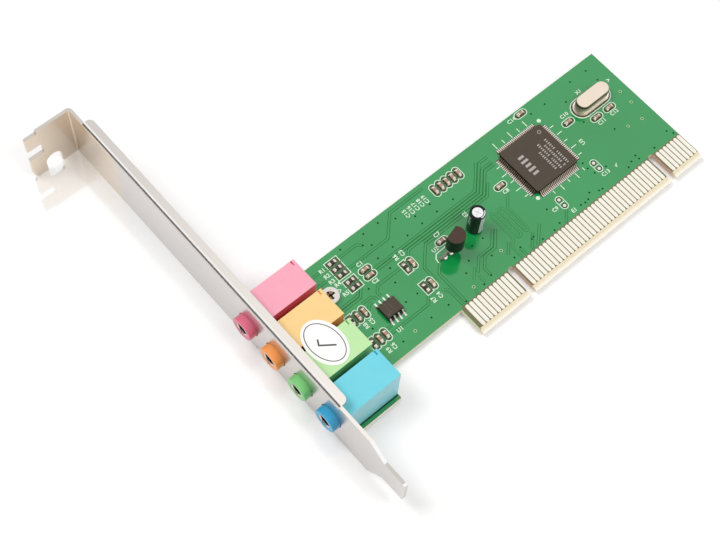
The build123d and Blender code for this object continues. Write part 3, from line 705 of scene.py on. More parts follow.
# tinned lands that run out from under each lead of the two flat packages, so far past its tip
LAND_UNDER = 0.9
LAND_MARGIN = 0.03
for package, extra in (("audio_chip", 0.45), ("amplifier", 0.55)):
    centre = extent(package + "_body")[2]
    for low, high, middle in loose_solids(package + "_leads"):
        away = middle - centre
        axis = 0 if abs(away.x) > abs(away.y) else 1
        tip = (high if away[axis] > 0 else low)[axis] + math.copysign(extra, away[axis])
        land = [[low[i] - LAND_MARGIN, high[i] + LAND_MARGIN] for i in range(2)]
        land[axis] = [tip - math.copysign(extra + LAND_UNDER, away[axis]), tip]
        (left, right), (near, far) = land
        pads.append([(left, near), (right, near), (right, far), (left, far)])

# unfilled footprints: an ink outline with a bar across it and two round lands
FOOTPRINT_LENGTH = 3.85
BAR_REACH = 0.95
ROUND_LAND, ROUND_OPENING = 0.42, 0.7
ROUND_LAND_OUT = 0.98
for x, y in ((36.6, 5.25), (50.5, 7.15)):
    ink += ribbon(round_path(x, y, OUTLINE_WIDTH, FOOTPRINT_LENGTH), INK_LINE, closed=True)
    ink += ribbon([(x - BAR_REACH, y), (x + BAR_REACH, y)], INK_LINE)
    for land_y in (y + ROUND_LAND_OUT, y - ROUND_LAND_OUT):
        openings_and_shade.append(disc(x, land_y, ROUND_OPENING))
        pads.append(disc(x, land_y, ROUND_LAND))

# pin ticks on the big chip's four sides, long and short by turns, and two corner dots
TICKS = 5
TICK_LINE = 0.24
CORNER_DOT = 0.55
TICK_SIDES = (
    # axis they point along, way, first tick, pitch, near end, far ends of the even and odd ticks
    (1, 1, 2.5, 2.55, 0.7, (2.6, 1.9)),
    (1, -1, 4.8, 2.55, 0.6, (1.5, 2.2)),
    (0, -1, 2.6, 2.52, 0.6, (1.6, 2.2)),
    (0, 1, 2.6, 2.52, 0.8, (1.9, 2.5)),
)
for axis, way, first, pitch, near, far in TICK_SIDES:
    edge = (row_high if way > 0 else row_low)[axis]
    for step in range(TICKS):
        along = row_low[1 - axis] + first + pitch * step
        ends = (edge + way * near, edge + way * far[step % 2])
        ink += ribbon([(along, end) if axis else (end, along) for end in ends], TICK_LINE)
ink += [disc(33.0, 9.9, CORNER_DOT), disc(48.5, 25.6, CORNER_DOT)]

# an ink outline round the crystal, and a dark ring of painted shadow at its foot
RIM_SHADE = 0.35
CRYSTAL_LINE = 0.3
CRYSTAL_ROOM_X, CRYSTAL_ROOM_Y = 1.1, 1.0
CAN_FACETS = 8
rim_low, rim_high, rim = extent("crystal_rim")
rim_size = rim_high - rim_low
openings_and_shade += ribbon(round_path(rim.x, rim.y, rim_size.x + RIM_SHADE, rim_size.y + RIM_SHADE, CAN_FACETS),
               RIM_SHADE, closed=True)
ink += ribbon(round_path(rim.x, rim.y, rim_size.x + CRYSTAL_ROOM_X, rim_size.y + CRYSTAL_ROOM_Y),
              CRYSTAL_LINE, closed=True)

# a bent stroke beside the regulator and three small arrowheads, with their line widths
for path, width in (
    ([(2.5, 12.5), (2.7, 13.7), (3.6, 14.6), (6.6, 14.7)], 0.28),
    ([(-20.6, 22.6), (-20.0, 22.1), (-20.6, 21.6)], 0.22),
    ([(70.2, 23.4), (70.9, 23.0), (70.2, 22.6)], 0.24),
    ([(54.0, 4.0), (54.8, 4.5), (54.2, 3.6)], 0.24),
):
    ink += ribbon(path, width)

# lands round the regulator's legs
LEG_LAND = 0.72
regulator_legs = loose_solids("regulator_leads")
pads += [disc(leg.x, leg.y, LEG_LAND) for _, _, leg in regulator_legs]

# part marks, numbered afresh for this card
MARK_HEIGHT = 1.05
for words, x, y, turn in (
    ("R1", -20.2, 28.6, 0), ("R2", -20.2, 26.8, 0), ("R3", -20.2, 25.0, 0), ("R4", -19.6, 23.6, 0),
    ("R5", -19.7, 20.5, 0), ("C1", -12.2, 24.3, 0), ("C2", -12.2, 18.6, 0), ("R6", -4.4, 20.1, 90),
    ("C3", -2.5, 20.1, 90), ("R7", -4.8, 6.1, 90), ("C4", -2.9, 6.1, 90), ("R8", -21.4, 11.3, 90),
    ("C5", -19.6, 11.3, 90), ("R9", -21.4, 3.3, 90), ("C6", -19.8, 3.3, 90), ("U1", -16.0, 5.5, 0),
    ("U2", 4.2, 15.6, 0), ("C7", 7.2, 18.3, 0), ("C8", 28.3, 16.3, 0), ("C9", 34.1, 4.9, 0),
    ("E1", 37.5, 1.8, 0), ("U3", 52.6, 14.3, 90), ("X1", 62.2, 25.3, 0), ("C10", 54.5, 22.6, 0),
    ("C11", 60.7, 15.2, 0), ("C12", 65.0, 15.2, 0), ("C13", 50.9, 4.2, 0), ("C14", 43.2, 30.0, 0),
    ("E2", 16.2, 18.0, 90),
):
    ink += lettering(words, x, y, MARK_HEIGHT, turn)
# a bank of five more in one row
BANK_FIRST, BANK_MARKS = 15, 5
BANK_X, BANK_Y, BANK_PITCH = 5.4, 27.3, 1.55
for step in range(BANK_MARKS):
    ink += lettering("C" + str(BANK_FIRST + step), BANK_X + BANK_PITCH * step, BANK_Y, MARK_HEIGHT, 90)

# copper tracks under the mask, each with a darker clearance on both sides
TRACK_WIDTH, CLEARANCE_WIDTH = 0.42, 0.76
FINE_TRACK, FINE_CLEARANCE = 0.4, 0.62
tracks = [
    [(-24.2, 28.7), (-18.9, 28.7)],
    [(-15.1, 28.7), (-9.4, 28.7), (-8.4, 27.7)],
    [(-24.2, 26.0), (-21.2, 26.0)],
    [(-15.1, 25.1), (-2.5, 25.1), (2.4, 30.0), (13.2, 30.0)],
    [(-10.2, 21.2), (22.4, 21.2), (28.1, 26.9)],
    [(-10.2, 20.45), (22.75, 20.45), (28.6, 26.3), (31.3, 26.3)],
    [(-1.9, 18.5), (-0.7, 19.7), (23.1, 19.7), (28.0, 24.6), (31.3, 24.6)],
    [(3.4, 18.97), (23.45, 18.97), (28.2, 23.7), (31.3, 23.7)],
    [(-1.0, 9.2), (-1.0, 13.7), (3.4, 18.2), (23.8, 18.24), (26.6, 21.0)],
    [(-5.4, 17.35), (-12.6, 17.35), (-13.8, 16.15), (-13.8, 14.9)],
    [(-18.5, 16.1), (-15.8, 16.1), (-15.1, 15.4), (-15.1, 14.7)],
    [(-18.5, 13.8), (-17.4, 14.9), (-16.4, 14.9)],
    [(-24.0, 18.3), (-18.1, 18.3), (-17.0, 19.4)],
    [(-24.0, 17.6), (-17.8, 17.6), (-16.0, 19.4)],
    [(-18.4, 6.05), (-6.8, 6.05), (-5.2, 7.65)],
    [(-18.4, 7.6), (-16.4, 7.6)],
    [(3.3, 12.9), (0.65, 10.3), (0.65, 0.4)],
    [(-1.3, 6.5), (-0.4, 5.6), (-0.4, 0.4)],
    [(8.0, 4.6), (10.9, 7.5), (15.2, 7.5), (18.6, 10.9)],
    [(9.9, 2.3), (9.9, 4.4), (12.3, 6.8), (15.6, 6.8), (19.2, 10.4)],
    [(20.2, 0.6), (20.2, 2.8)], [(22.7, 0.6), (22.7, 1.2), (25.6, 4.1)], [(24.0, 0.6), (28.4, 4.6)],
    [(33.6, 0.6), (36.2, 3.2)], [(16.8, 3.4), (19.2, 5.8)],
]
fine_tracks = [
    [(18.9, 0.6), (18.9, 4.0), (20.7, 5.8), (20.7, 13.4), (21.2, 13.9), (21.4, 13.9), (21.9, 13.4),
     (21.9, 5.6), (22.4, 5.1), (22.6, 5.1), (23.1, 5.6), (23.1, 13.4), (23.6, 13.9), (23.9, 13.9),
     (24.4, 13.4), (24.4, 5.6), (24.8, 5.2), (25.1, 5.2), (25.5, 5.6), (25.5, 12.8), (28.6, 15.9)],
    [(4.6, 2.0), (4.0, 0.5)], [(6.0, 3.9), (8.4, 6.3)], [(7.6, 1.6), (7.6, 4.0)],
]
clearances = ribbons(tracks, CLEARANCE_WIDTH) + ribbons(fine_tracks, FINE_CLEARANCE)
flat_piece("track_clearances", clearances, CLEARANCE_LEVEL, clearance_mask, "board_laminate")
copper = ribbons(tracks, TRACK_WIDTH) + ribbons(fine_tracks, FINE_TRACK)
flat_piece("copper_tracks", copper, TRACK_LEVEL, track_mask, "board_laminate")

# plated holes as dark dots of painted shade, and a few tinned rings for test pins
VIA_RADIUS, PIN_HOLE = 0.24, 0.18
RING_RADIUS, RING_WIDTH = 0.33, 0.2
HOLE_FACETS = 12
vias = [
    (-13.2, 30.2), (-6.2, 29.8), (-1.6, 29.8), (2.5, 28.0), (6.6, 25.4), (-7.8, 22.7), (-3.1, 22.7),
    (1.7, 22.7), (6.6, 22.9), (-14.8, 18.1), (-7.3, 18.9), (-8.9, 15.3), (-10.3, 9.9), (-6.8, 9.8),
    (-20.8, 9.8), (-17.5, 2.8), (-8.4, 3.1), (-3.1, 2.9), (5.7, 6.3), (8.4, 8.3), (0.7, 0.9), (7.0, 1.4),
    (-6.6, 26.3), (-8.3, 27.6), (11.5, 23.0), (16.8, 23.0), (11.5, 25.6), (11.7, 10.7), (15.1, 10.6),
    (13.6, 5.8), (32.5, 6.3), (20.4, 3.0), (24.1, 2.8), (24.8, 3.0), (17.4, 1.9), (9.9, 2.1),
    (26.1, 1.1), (30.0, 1.0), (32.3, 1.6), (39.8, 1.8), (41.1, 1.6), (42.3, 1.8), (43.8, 2.9),
    (46.1, 1.8), (47.1, 1.6), (48.4, 28.3), (53.1, 28.2), (62.7, 28.8), (68.2, 28.6), (57.7, 25.2),
    (57.0, 18.1), (61.6, 11.7), (48.4, 9.8), (48.3, 8.0), (48.8, 6.0), (52.2, 5.5), (56.4, 1.7),
    (58.1, 2.4), (60.1, 3.0), (60.2, 1.8), (65.4, 1.5), (71.3, 2.9), (72.2, 1.4), (68.6, 24.8),
]
pins = [(-13.6, 3.0), (4.6, 2.5), (16.2, 5.3), (64.8, 10.1), (70.6, 18.6), (70.5, 14.6), (69.1, 9.4)]
hole_dots = [disc(x, y, VIA_RADIUS, HOLE_FACETS) for x, y in vias]
hole_dots += [disc(x, y, PIN_HOLE, HOLE_FACETS) for x, y in pins]
flat_piece("plated_holes", hole_dots, PAD_LEVEL, hole_dark, "board_laminate")
pin_rings = []
for x, y in pins:
    pin_rings += ribbon(disc(x, y, RING_RADIUS), RING_WIDTH, closed=True)
flat_piece("test_pin_rings", pin_rings, PAD_LEVEL, copper_ring, "solder")
# the mask's openings, with the painted shadow by the amplifier and at the crystal's foot
flat_piece("pad_openings_and_painted_shade", openings_and_shade, TRACK_LEVEL, bare_laminate_and_shade, "board_laminate")
flat_piece("tinned_lands", pads, PAD_LEVEL, solder_tin, "solder")
flat_piece("board_marking", ink, PRINT_LEVEL, white_ink, "board_laminate")

# underside: a run with one jog from two in three of the back fingers, the same holes, lands round the cones
RUN_LENGTH, RUN_STEP = 4.6, 1.3
JOG_START, JOG = 1.6, 1.8
LONG_JOG = 4.0
JOINT_LAND = 0.25
JOINT_FACETS = 20
joints = loose_solids("soldered_joints")
under_runs = []
for number, (_, high, middle) in enumerate(loose_solids("edge_contacts_back")):
    x, start = middle.x, high.y
    bend, end = start + JOG_START, start + RUN_LENGTH + RUN_STEP * (number % 5)
    if number % 3 != 1:
        under_runs.append([(x, start), (x, bend), (x - JOG, bend + JOG), (x - JOG, end)])
for y in (27.0, 25.6, 24.2, 22.8):
    under_runs.append([(-20.0, y), (-2.0, y), (2.0, y - LONG_JOG), (40.0, y - LONG_JOG)])
joint_lands = []
for low, high, joint in joints:
    joint_lands.append(disc(joint.x, joint.y, (high.x - low.x) / 2 + JOINT_LAND, JOINT_FACETS))
flat_piece("underside_clearances", ribbons(under_runs, CLEARANCE_WIDTH), BOARD_UNDERSIDE - CLEARANCE_LEVEL,
           clearance_mask, "board_laminate", under=True)
flat_piece("underside_tracks", ribbons(under_runs, TRACK_WIDTH), BOARD_UNDERSIDE - TRACK_LEVEL,
           track_mask, "board_laminate", under=True)
flat_piece("underside_holes", hole_dots, BOARD_UNDERSIDE - PAD_LEVEL, hole_dark, "board_laminate", under=True)
flat_piece("joint_lands", joint_lands, BOARD_UNDERSIDE - PAD_LEVEL, solder_tin, "solder", under=True)

# etched fingers with rounded ends, in place of the square ones
for name, node in (("rounded_fingers_front", "edge_contacts_front"),
                   ("rounded_fingers_back", "edge_contacts_back")):
    etched = []
    for low, high, middle in loose_solids(node):
        outline = round_path(middle.x, middle.y, high.x - low.x, high.y - low.y)
        etched.append(lofted([[(x, y, level) for x, y in outline] for level in (low.z, high.z)]))
    solid_piece(name, *joined(etched), gold, "contact_gold", node)

# solder cones on the pin ends below the board, in place of the plain prisms: shares of radius and height
CONE_PROFILE = ((1.0, 0.0), (0.92, 0.12), (0.62, 0.38), (0.42, 0.72), (0.3, 0.92), (0.12, 1.0))
cones = []
for low, high, joint in joints:
    radius, drop = (high.x - low.x) / 2, high.z - low.z
    cones.append(turned(joint, [(radius * width, high.z - drop * depth) for width, depth in CONE_PROFILE]))
solid_piece("solder_cones", *joined(cones), solder_tin, "solder", "soldered_joints", smooth=True)

# painted shade in the floor of the screw's cross recess
RECESS_REACH, RECESS_WIDTH, RECESS_DEPTH = 1.1, 0.54, 0.3
_, screw_high, screw = extent("board_screw")
cross_shade = ribbon([(screw.x - RECESS_REACH, screw.y), (screw.x + RECESS_REACH, screw.y)], RECESS_WIDTH)
cross_shade += ribbon([(screw.x, screw.y - RECESS_REACH), (screw.x, screw.y + RECESS_REACH)], RECESS_WIDTH)
flat_piece("recess_painted_shade", cross_shade, screw_high.z - RECESS_DEPTH, recess_dark, "screw_steel")
# three brown spots on the head, between three of the recess's arms
SPOT_REACH, SPOT_RADIUS = 0.72, 0.42
head_spots = []
for angle in (45, 135, 225):
    x = screw.x + SPOT_REACH * math.cos(math.radians(angle))
    y = screw.y + SPOT_REACH * math.sin(math.radians(angle))
    head_spots.append(disc(x, y, SPOT_RADIUS))
flat_piece("screw_head_spots", head_spots, screw_high.z + MARK_LIFT, brown_spots, "screw_steel")

# low solder collars where the regulator's legs enter the board: radius and height
COLLAR_PROFILE = ((0.78, 0.05), (0.74, 0.2), (0.6, 0.36), (0.42, 0.5), (0.2, 0.56))
collars = [turned(leg, COLLAR_PROFILE) for _, _, leg in regulator_legs]
solid_piece("leg_solder_collars", *joined(collars), solder_tin, "solder", smooth=True)

# drawn can of the crystal with a rolled top edge, in place of the plain prism
ROLL = 0.45
ROLL_STEPS = 6
# the wall's painted shade grows from this far above its foot to full this far below its brim
WALL_SHADE = 0.5
can_low, can_high, can = extent("crystal_can")
can_size = can_high - can_low
can_rings = [[(x, y, can_low.z) for x, y in round_path(can.x, can.y, can_size.x, can_size.y, CAN_FACETS)]]
for step in range(ROLL_STEPS + 1):
    angle = math.radians(90 * step / ROLL_STEPS)
    inset = 2 * ROLL * (1 - math.cos(angle))
    level = can_high.z - ROLL * (1 - math.sin(angle))
    ring = round_path(can.x, can.y, can_size.x - inset, can_size.y - inset, CAN_FACETS)
    can_rings.append([(x, y, level) for x, y in ring])
can_finish = drawn_can(can_low.z + WALL_SHADE, can_high.z - WALL_SHADE)
solid_piece("crystal_shell", *lofted(can_rings), can_finish, "crystal_steel", "crystal_can", smooth=True)

# cross-shaped pressure score on the capacitor's top
SCORE_LINE = 0.1
SCORE_ARMS = ((0.8, 0.4), (0.4, -0.8))
_, cap_high, cap = extent("capacitor_can")
score = []
for arm_x, arm_y in SCORE_ARMS:
    score += ribbon([(cap.x - arm_x, cap.y - arm_y), (cap.x + arm_x, cap.y + arm_y)], SCORE_LINE)
flat_piece("capacitor_score", score, cap_high.z + MARK_LIFT, scored, "can_aluminium")

# the film's shrunk lip on that top, as radius and rise
LIP_PROFILE = ((1.6, 0.0), (1.5, 0.03), (1.4, 0.025), (1.35, 0.005))
ROUND_FACETS = 32
lip = turned(cap, [(radius, cap_high.z + rise) for radius, rise in LIP_PROFILE], ROUND_FACETS, closed=False)
solid_piece("shrunk_lip", *lip, film, "capacitor_film", smooth=True)

# generic marking on the big chip: four rows of short strokes with gaps, a row of tall ones, a pin-one ring
ROW_STROKES = (12, 14, 13, 14)
ROW_START, ROW_PITCH = 8.1, 1.2
STROKE_START, STROKE_PITCH = 1.5, 0.62
STROKE_HEIGHTS, STROKE_LINE = (0.5, 0.72, 0.72), 0.3
PIN_ONE_INSET, PIN_ONE_RADIUS, PIN_ONE_LINE = 1.9, 0.45, 0.16
TALL_STROKES, TALL_ROW, TALL_PITCH = 5, 3.5, 1.35
TALL_HEIGHTS, TALL_LINE = (1.7, 2.1), 0.7
top_low, top_high, top_middle = extent("audio_chip_body")
marks = []
for row, strokes in enumerate(ROW_STROKES):
    x = top_low.x + ROW_START + ROW_PITCH * row
    for step in range(strokes):
        # one place in eleven stays empty, at another step in each row
        if (step * 5 + row * 3) % 11:
            y = top_low.y + STROKE_START + STROKE_PITCH * step
            marks.append(square_path(x, y, STROKE_HEIGHTS[(step + row) % 3], STROKE_LINE))
pin_one = disc(top_high.x - PIN_ONE_INSET, top_high.y - PIN_ONE_INSET, PIN_ONE_RADIUS)
marks += ribbon(pin_one, PIN_ONE_LINE, closed=True)
for step in range(TALL_STROKES):
    y = top_middle.y + TALL_PITCH * (step - TALL_STROKES // 2)
    marks.append(square_path(top_low.x + TALL_ROW, y, TALL_HEIGHTS[step % 2], TALL_LINE))
flat_piece("chip_marking", marks, top_high.z + PRINT_LIFT, laser_mark, "chip_resin")

# the same on the small amplifier: two short rows and a pin-one dot
DOT_INSET, DOT_RADIUS = 0.8, 0.3
SMALL_ROWS, SMALL_STROKES = 2, 5
SMALL_ROW_START, SMALL_ROW_PITCH = 1.6, 1.0
SMALL_STROKE_START, SMALL_STROKE_PITCH = 1.1, 0.55
SMALL_STROKE_HEIGHT, SMALL_STROKE_LINE = 0.5, 0.22
marks = [disc(small_low.x + DOT_INSET, small_low.y + DOT_INSET, DOT_RADIUS)]
for row in range(SMALL_ROWS):
    x = small_low.x + SMALL_ROW_START + SMALL_ROW_PITCH * row
    for step in range(SMALL_STROKES):
        y = small_low.y + SMALL_STROKE_START + SMALL_STROKE_PITCH * step
        marks.append(square_path(x, y, SMALL_STROKE_HEIGHT, SMALL_STROKE_LINE))
flat_piece("amplifier_marking", marks, small_high.z + PRINT_LIFT, faint_mark, "chip_resin")

# inspection sticker: a printed oval ring round a tick
STICKER_TURN = math.radians(98)
OVAL_LONG, OVAL_SHORT, OVAL_LINE, OVAL_FACETS = 5.45, 3.6, 0.22, 48
CHECK_MARK = ((1.7, 0.6), (0.5, 1.5), (-2.3, -1.3))
CHECK_LINE = 0.42
_, paper_high, sticker = extent("inspection_sticker")
along_sticker = Vector((math.cos(STICKER_TURN), math.sin(STICKER_TURN)))
across_sticker = Vector((-math.sin(STICKER_TURN), math.cos(STICKER_TURN)))


def on_sticker(points):
    """Sticker points, along and across its oval, as board points."""
    return [tuple(sticker.xy + along_sticker * u + across_sticker * v) for u, v in points]


oval = [(OVAL_LONG * x, OVAL_SHORT * y) for x, y in disc(0, 0, 1, OVAL_FACETS)]
stamp = ribbon(on_sticker(oval), OVAL_LINE, closed=True) + ribbon(on_sticker(CHECK_MARK), CHECK_LINE)
flat_piece("sticker_print", stamp, paper_high.z + PRINT_LIFT, grey_ink, "sticker_paper")

# jack housings with a square back end and a slit across their corner, in place of the CAD's cut corner
SLIT_WIDTH, SLIT_LENGTH, SLIT_DEPTH = 0.38, 1.2, 0.9
SLIT_FROM_BACK, SLIT_FROM_SIDE = 0.9, 0.75
HOUSING_EDGE = 0.12
# where the CAD's cut corner and its own slit are looked for, and how near a face its points lie
CUT_CORNER = 2.0
CAD_SLIT_DEPTH, CAD_SLIT_FAR, CAD_SLIT_NEAR = 0.6, 1.0, 0.5
IN_FACE = 0.01


def square_housing(colour, plastic):
    """One jack's housing, made from its CAD node's mesh."""
    node = colour + "_jack_housing"
    _, high, _ = extent(node)
    shape = bmesh.new()
    shape.from_mesh(nodes[node].data)
    bmesh.ops.remove_doubles(shape, verts=shape.verts, dist=WELD_DISTANCE)
    for vert in shape.verts:
        if vert.co.y > (high.y - IN_FACE) * MM and vert.co.x > (high.x - CUT_CORNER) * MM:
            vert.co.x = high.x * MM
    lid = [f for f in shape.faces if all(v.co.z > (high.z - IN_FACE) * MM for v in f.verts)]
    bmesh.ops.delete(shape, geom=lid, context="FACES")
    old_slit = [v for v in shape.verts if v.co.z > (high.z - CAD_SLIT_DEPTH) * MM
                and (high.y - CAD_SLIT_FAR) * MM < v.co.y < (high.y - CAD_SLIT_NEAR) * MM]
    bmesh.ops.delete(shape, geom=old_slit, context="VERTS")
    lid_edges = [e for e in shape.edges if len(e.link_faces) == 1]
    slit = square_path(high.x - SLIT_FROM_BACK, high.y - SLIT_FROM_SIDE, SLIT_WIDTH, SLIT_LENGTH)
    mouth = [shape.verts.new(Vector((x, y, high.z)) * MM) for x, y in slit]
    foot = [shape.verts.new(Vector((x, y, high.z - SLIT_DEPTH)) * MM) for x, y in slit]
    lid_edges += [shape.edges.new((mouth[i - 1], mouth[i])) for i in range(4)]
    bmesh.ops.triangle_fill(shape, use_beauty=True, edges=lid_edges)
    for i in range(4):
        shape.faces.new((mouth[i - 1], mouth[i], foot[i], foot[i - 1]))
    shape.faces.new(foot)
    bmesh.ops.recalc_face_normals(shape, faces=shape.faces)
    mesh = bpy.data.meshes.new(colour + "_square_housing")
    shape.to_mesh(mesh)
    shape.free()
    for face in mesh.polygons:
        face.use_smooth = True
    mesh.materials.append(plastic)
    return take_in(bpy.data.objects.new(colour + "_square_housing", mesh), colour + "_plastic", node)


for colour, plastic in jack_plastics.items():
    soften(square_housing(colour, plastic), HOUSING_EDGE)

# bush in each jack's mouth, which the plug's sleeve touches: plated at its lip, and inside a bronze painted
# near-black as painted shade
BORE_HEIGHT = 6.5
# depth from the barrel's end and radius
LIP_WALL = ((0.1, 1.79), (0.14, 1.62), (0.36, 1.53))
INNER_WALL = ((0.36, 1.53), (5.2, 1.5))
for name, wall, finish in (("jack_mouth_lips", LIP_WALL, bush_plate),
                           ("jack_mouth_bushes", INNER_WALL, bronze)):
    bushes = []
    for colour in jack_plastics:
        barrel_end, _, jack = extent(colour + "_jack_housing")
        bushes.append(lofted([[(barrel_end.x + depth, y, z)
                               for y, z in disc(jack.y, BORE_HEIGHT, radius, ROUND_FACETS)]
                              for depth, radius in wall], False, False))
    solid_piece(name, *joined(bushes), finish, "contact_metal", smooth=True)

# painted shade: a dark strip on the board along the blue housing's foot
SHADE_STRIP_WIDTH = 0.3
SHADE_FROM_PLATE = 0.5
stand_low, stand_high, _ = extent("blue_jack_housing")
shade_start = plate_back + SHADE_FROM_PLATE
shade_strip = square_path((shade_start + stand_high.x) / 2, stand_low.y - SHADE_STRIP_WIDTH / 2,
                       stand_high.x - shade_start, SHADE_STRIP_WIDTH)
flat_piece("housing_painted_shade", [shade_strip], PRINT_LEVEL, hole_dark, "board_laminate")

# print on the capacitor's sleeve, in mm and degrees: a pale stripe, a short arc on the lip, generic strokes
SLEEVE_LIFT = 0.03
PATCH_STEPS = 8
STRIPE_FIRST, STRIPE_LAST = -108, -52
STRIPE_FOOT, STRIPE_TOP = 0.25, 0.3
LIP_ARC = range(-104, -20, 8)
LIP_ARC_RADIUS, LIP_ARC_LINE = 1.69, 0.32
SLEEVE_ROWS, SLEEVE_ROW_TOP, SLEEVE_ROW_PITCH, SLEEVE_STROKE = 5, 0.7, 0.72, 0.42
# the two strokes of a row, and how much shorter the second is on odd rows
LEFT_STROKE, RIGHT_STROKE, STROKE_CUT = (-203, -192), (-189, -181), 3
sleeve_low, sleeve_high, sleeve = extent("capacitor_sleeve")
sleeve_skin = (sleeve_high.x - sleeve_low.x) / 2 + SLEEVE_LIFT


def round_sleeve(radius, angle):
    """The point at that radius and that many degrees round the sleeve's axis."""
    turn = math.radians(angle)
    return sleeve.x + radius * math.cos(turn), sleeve.y + radius * math.sin(turn)


def on_sleeve(first, last, low, high):
    """A patch of the sleeve between two angles and two heights."""
    angles = [first + (last - first) * step / PATCH_STEPS for step in range(PATCH_STEPS + 1)]
    points = [(*round_sleeve(sleeve_skin, angle), level) for level in (low, high) for angle in angles]
    faces = [[i, i + 1, i + PATCH_STEPS + 2, i + PATCH_STEPS + 1] for i in range(PATCH_STEPS)]
    return points, faces


stripe = on_sleeve(STRIPE_FIRST, STRIPE_LAST, sleeve_low.z + STRIPE_FOOT, sleeve_high.z - STRIPE_TOP)
solid_piece("polarity_stripe", *stripe, pale_film, "capacitor_film", smooth=True)
arc = [round_sleeve(LIP_ARC_RADIUS, angle) for angle in LIP_ARC]
flat_piece("lip_print", ribbon(arc, LIP_ARC_LINE), sleeve_high.z + PRINT_LIFT, pale_film, "capacitor_film")
strokes = []
for row in range(SLEEVE_ROWS):
    level = sleeve_high.z - SLEEVE_ROW_TOP - SLEEVE_ROW_PITCH * row
    strokes.append(on_sleeve(*LEFT_STROKE, level - SLEEVE_STROKE, level))
    first, last = RIGHT_STROKE
    strokes.append(on_sleeve(first, last - STROKE_CUT * (row % 2), level - SLEEVE_STROKE, level))
solid_piece("sleeve_print", *joined(strokes), pale_film, "capacitor_film", smooth=True)


def seen_directly(tree):
    """1 for rays from the camera, a mirror or a clear surface, and 0 for those that only carry light."""
    rays = add(tree, "LightPath").outputs
    seen = add(tree, "Math", {0: rays["Is Camera Ray"], 1: rays["Is Glossy Ray"]}, operation="MAXIMUM")
    seen = add(tree, "Math", {0: seen.outputs[0], 1: rays["Is Transmission Ray"]}, operation="MAXIMUM")
    return seen.outputs[0]


# along the card, in mm: where the paper's burnish starts and where it is full
BURNISH_START, BURNISH_END = 50.0, 85.0


# white sweep paper: matt, seen white with the card's shadow kept, and burnished toward the bracket's tab
def sweep_paper():
    material, tree, place = surface("white_sweep_paper")
    share = add(tree, "Math", {0: seen_directly(tree), 1: 0.25}, operation="MULTIPLY")
    sheet = add(tree, "BsdfDiffuse", {"Color": linear("FAF9F8")})
    glow = add(tree, "Emission", {"Color": linear("FFFFFF"), "Strength": 1.0})
    both = add(tree, "MixShader", {0: share.outputs[0], 1: sheet.outputs[0], 2: glow.outputs[0]})
    polish = add(tree, "BsdfGlossy", {"Color": linear("FFFFFF"), "Roughness": 0.09})
    where = add(tree, "SeparateXYZ", {"Vector": place})
    burnish = add(tree, "MapRange", {"Value": where.outputs["Y"], "From Min": BURNISH_START * MM,
                                     "From Max": BURNISH_END * MM, "To Min": 0.08, "To Max": 0.42})
    rays = add(tree, "LightPath").outputs
    gleam = add(tree, "Math", {0: rays["Is Camera Ray"], 1: burnish.outputs["Result"]}, operation="MULTIPLY")
    whole = add(tree, "MixShader", {0: gleam.outputs[0], 1: both.outputs[0], 2: polish.outputs[0]})
    add(tree, "OutputMaterial", {"Surface": whole.outputs[0]})
    return material


def studio_sheet(name, points, material):
    """A four-cornered sheet of the studio, in metres, which isn't part of the card."""
    mesh = bpy.data.meshes.new(name)
    mesh.from_pydata(points, [], [(0, 1, 2, 3)])
    mesh.materials.append(material)
    sheet = bpy.data.objects.new(name, mesh)
    bpy.context.scene.collection.objects.link(sheet)
    sheet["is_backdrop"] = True
    return sheet


# the studio, in metres: a white sweep under the card
SWEEP_SIDE = 6.0
sweep = [(x, y, cad_low.z) for x, y in square_path(0.0, 0.0, SWEEP_SIDE, SWEEP_SIDE)]
studio_sheet("floor", sweep, sweep_paper())

# dark cardboard at the left, seen only in mirrors: it draws the dark line along the bracket's fold
SHADE_X, SHADE_NEAR, SHADE_FAR, SHADE_TOP = -0.8, -0.9, 1.3, 0.75
shade = studio_sheet("dark_card", [(SHADE_X, SHADE_NEAR, 0.0), (SHADE_X, SHADE_FAR, 0.0),
                                   (SHADE_X, SHADE_FAR, SHADE_TOP), (SHADE_X, SHADE_NEAR, SHADE_TOP)],
                     dry_surface("brown_card", "463E34", "4E453A", 2.0, 0.8, 0.01))
shade.visible_camera = shade.visible_diffuse = shade.visible_shadow = False

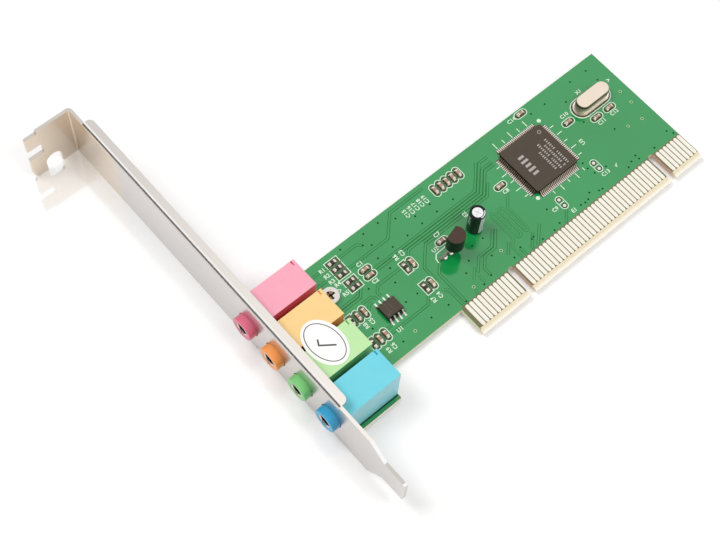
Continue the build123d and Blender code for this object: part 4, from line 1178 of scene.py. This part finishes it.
# an even white room, which looks brighter than it lights
room = bpy.data.worlds.new("white_room")
bpy.context.scene.world = room
room.use_nodes = True
tree = room.node_tree
tree.nodes.clear()
dim = add(tree, "Background", {"Color": linear("FFFFFF"), "Strength": 0.42})
white = add(tree, "Background", {"Color": linear("FFFFFF"), "Strength": 1.0})
both = add(tree, "MixShader", {0: seen_directly(tree), 1: dim.outputs[0], 2: white.outputs[0]})
add(tree, "OutputWorld", {"Surface": both.outputs[0]})

# two softboxes, behind the card and before it; the metals mirror the room and not the lamps
LIT_SPOT = Vector((0.0, 0.02, 0.0))
for name, place, width, power in (("back_softbox", (-0.36, 0.42, 1.0), 0.45, 6.5),
                                  ("front_softbox", (0.15, -0.5, 1.1), 0.4, 5.0)):
    lamp = bpy.data.lights.new(name, "AREA")
    lamp.shape, lamp.size, lamp.energy = "SQUARE", width, power
    softbox = bpy.data.objects.new(name, lamp)
    softbox.location = place
    softbox.rotation_euler = (LIT_SPOT - softbox.location).to_track_quat("-Z", "Y").to_euler()
    softbox.visible_glossy = False
    bpy.context.scene.collection.objects.link(softbox)

# camera at the photograph's viewing angle, in degrees and metres
CAMERA_ANGLES = (-46.29, 64.32, 5.74)
CAMERA_PLACE = (-0.1234, -0.0825, 0.3146)
FOCAL_LENGTH, SENSOR_WIDTH = 73.86, 36.0
bpy.context.scene.view_settings.view_transform = "Standard"
azimuth, elevation, roll = (math.radians(angle) for angle in CAMERA_ANGLES)
back = Vector((math.sin(azimuth) * math.cos(elevation), -math.cos(azimuth) * math.cos(elevation),
               math.sin(elevation)))
right = Vector((0, 0, 1)).cross(back).normalized()
up = back.cross(right)
side = right * math.cos(roll) + up * math.sin(roll)
top = up * math.cos(roll) - right * math.sin(roll)
lens = bpy.data.cameras.new("camera")
lens.sensor_width = SENSOR_WIDTH
lens.lens = FOCAL_LENGTH
lens.clip_start = 0.01
camera = bpy.data.objects.new("camera", lens)
stand = Matrix((side, top, back)).transposed().to_4x4()
stand.translation = CAMERA_PLACE
camera.matrix_world = stand
bpy.context.scene.collection.objects.link(camera)
bpy.context.scene.camera = camera

low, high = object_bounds()
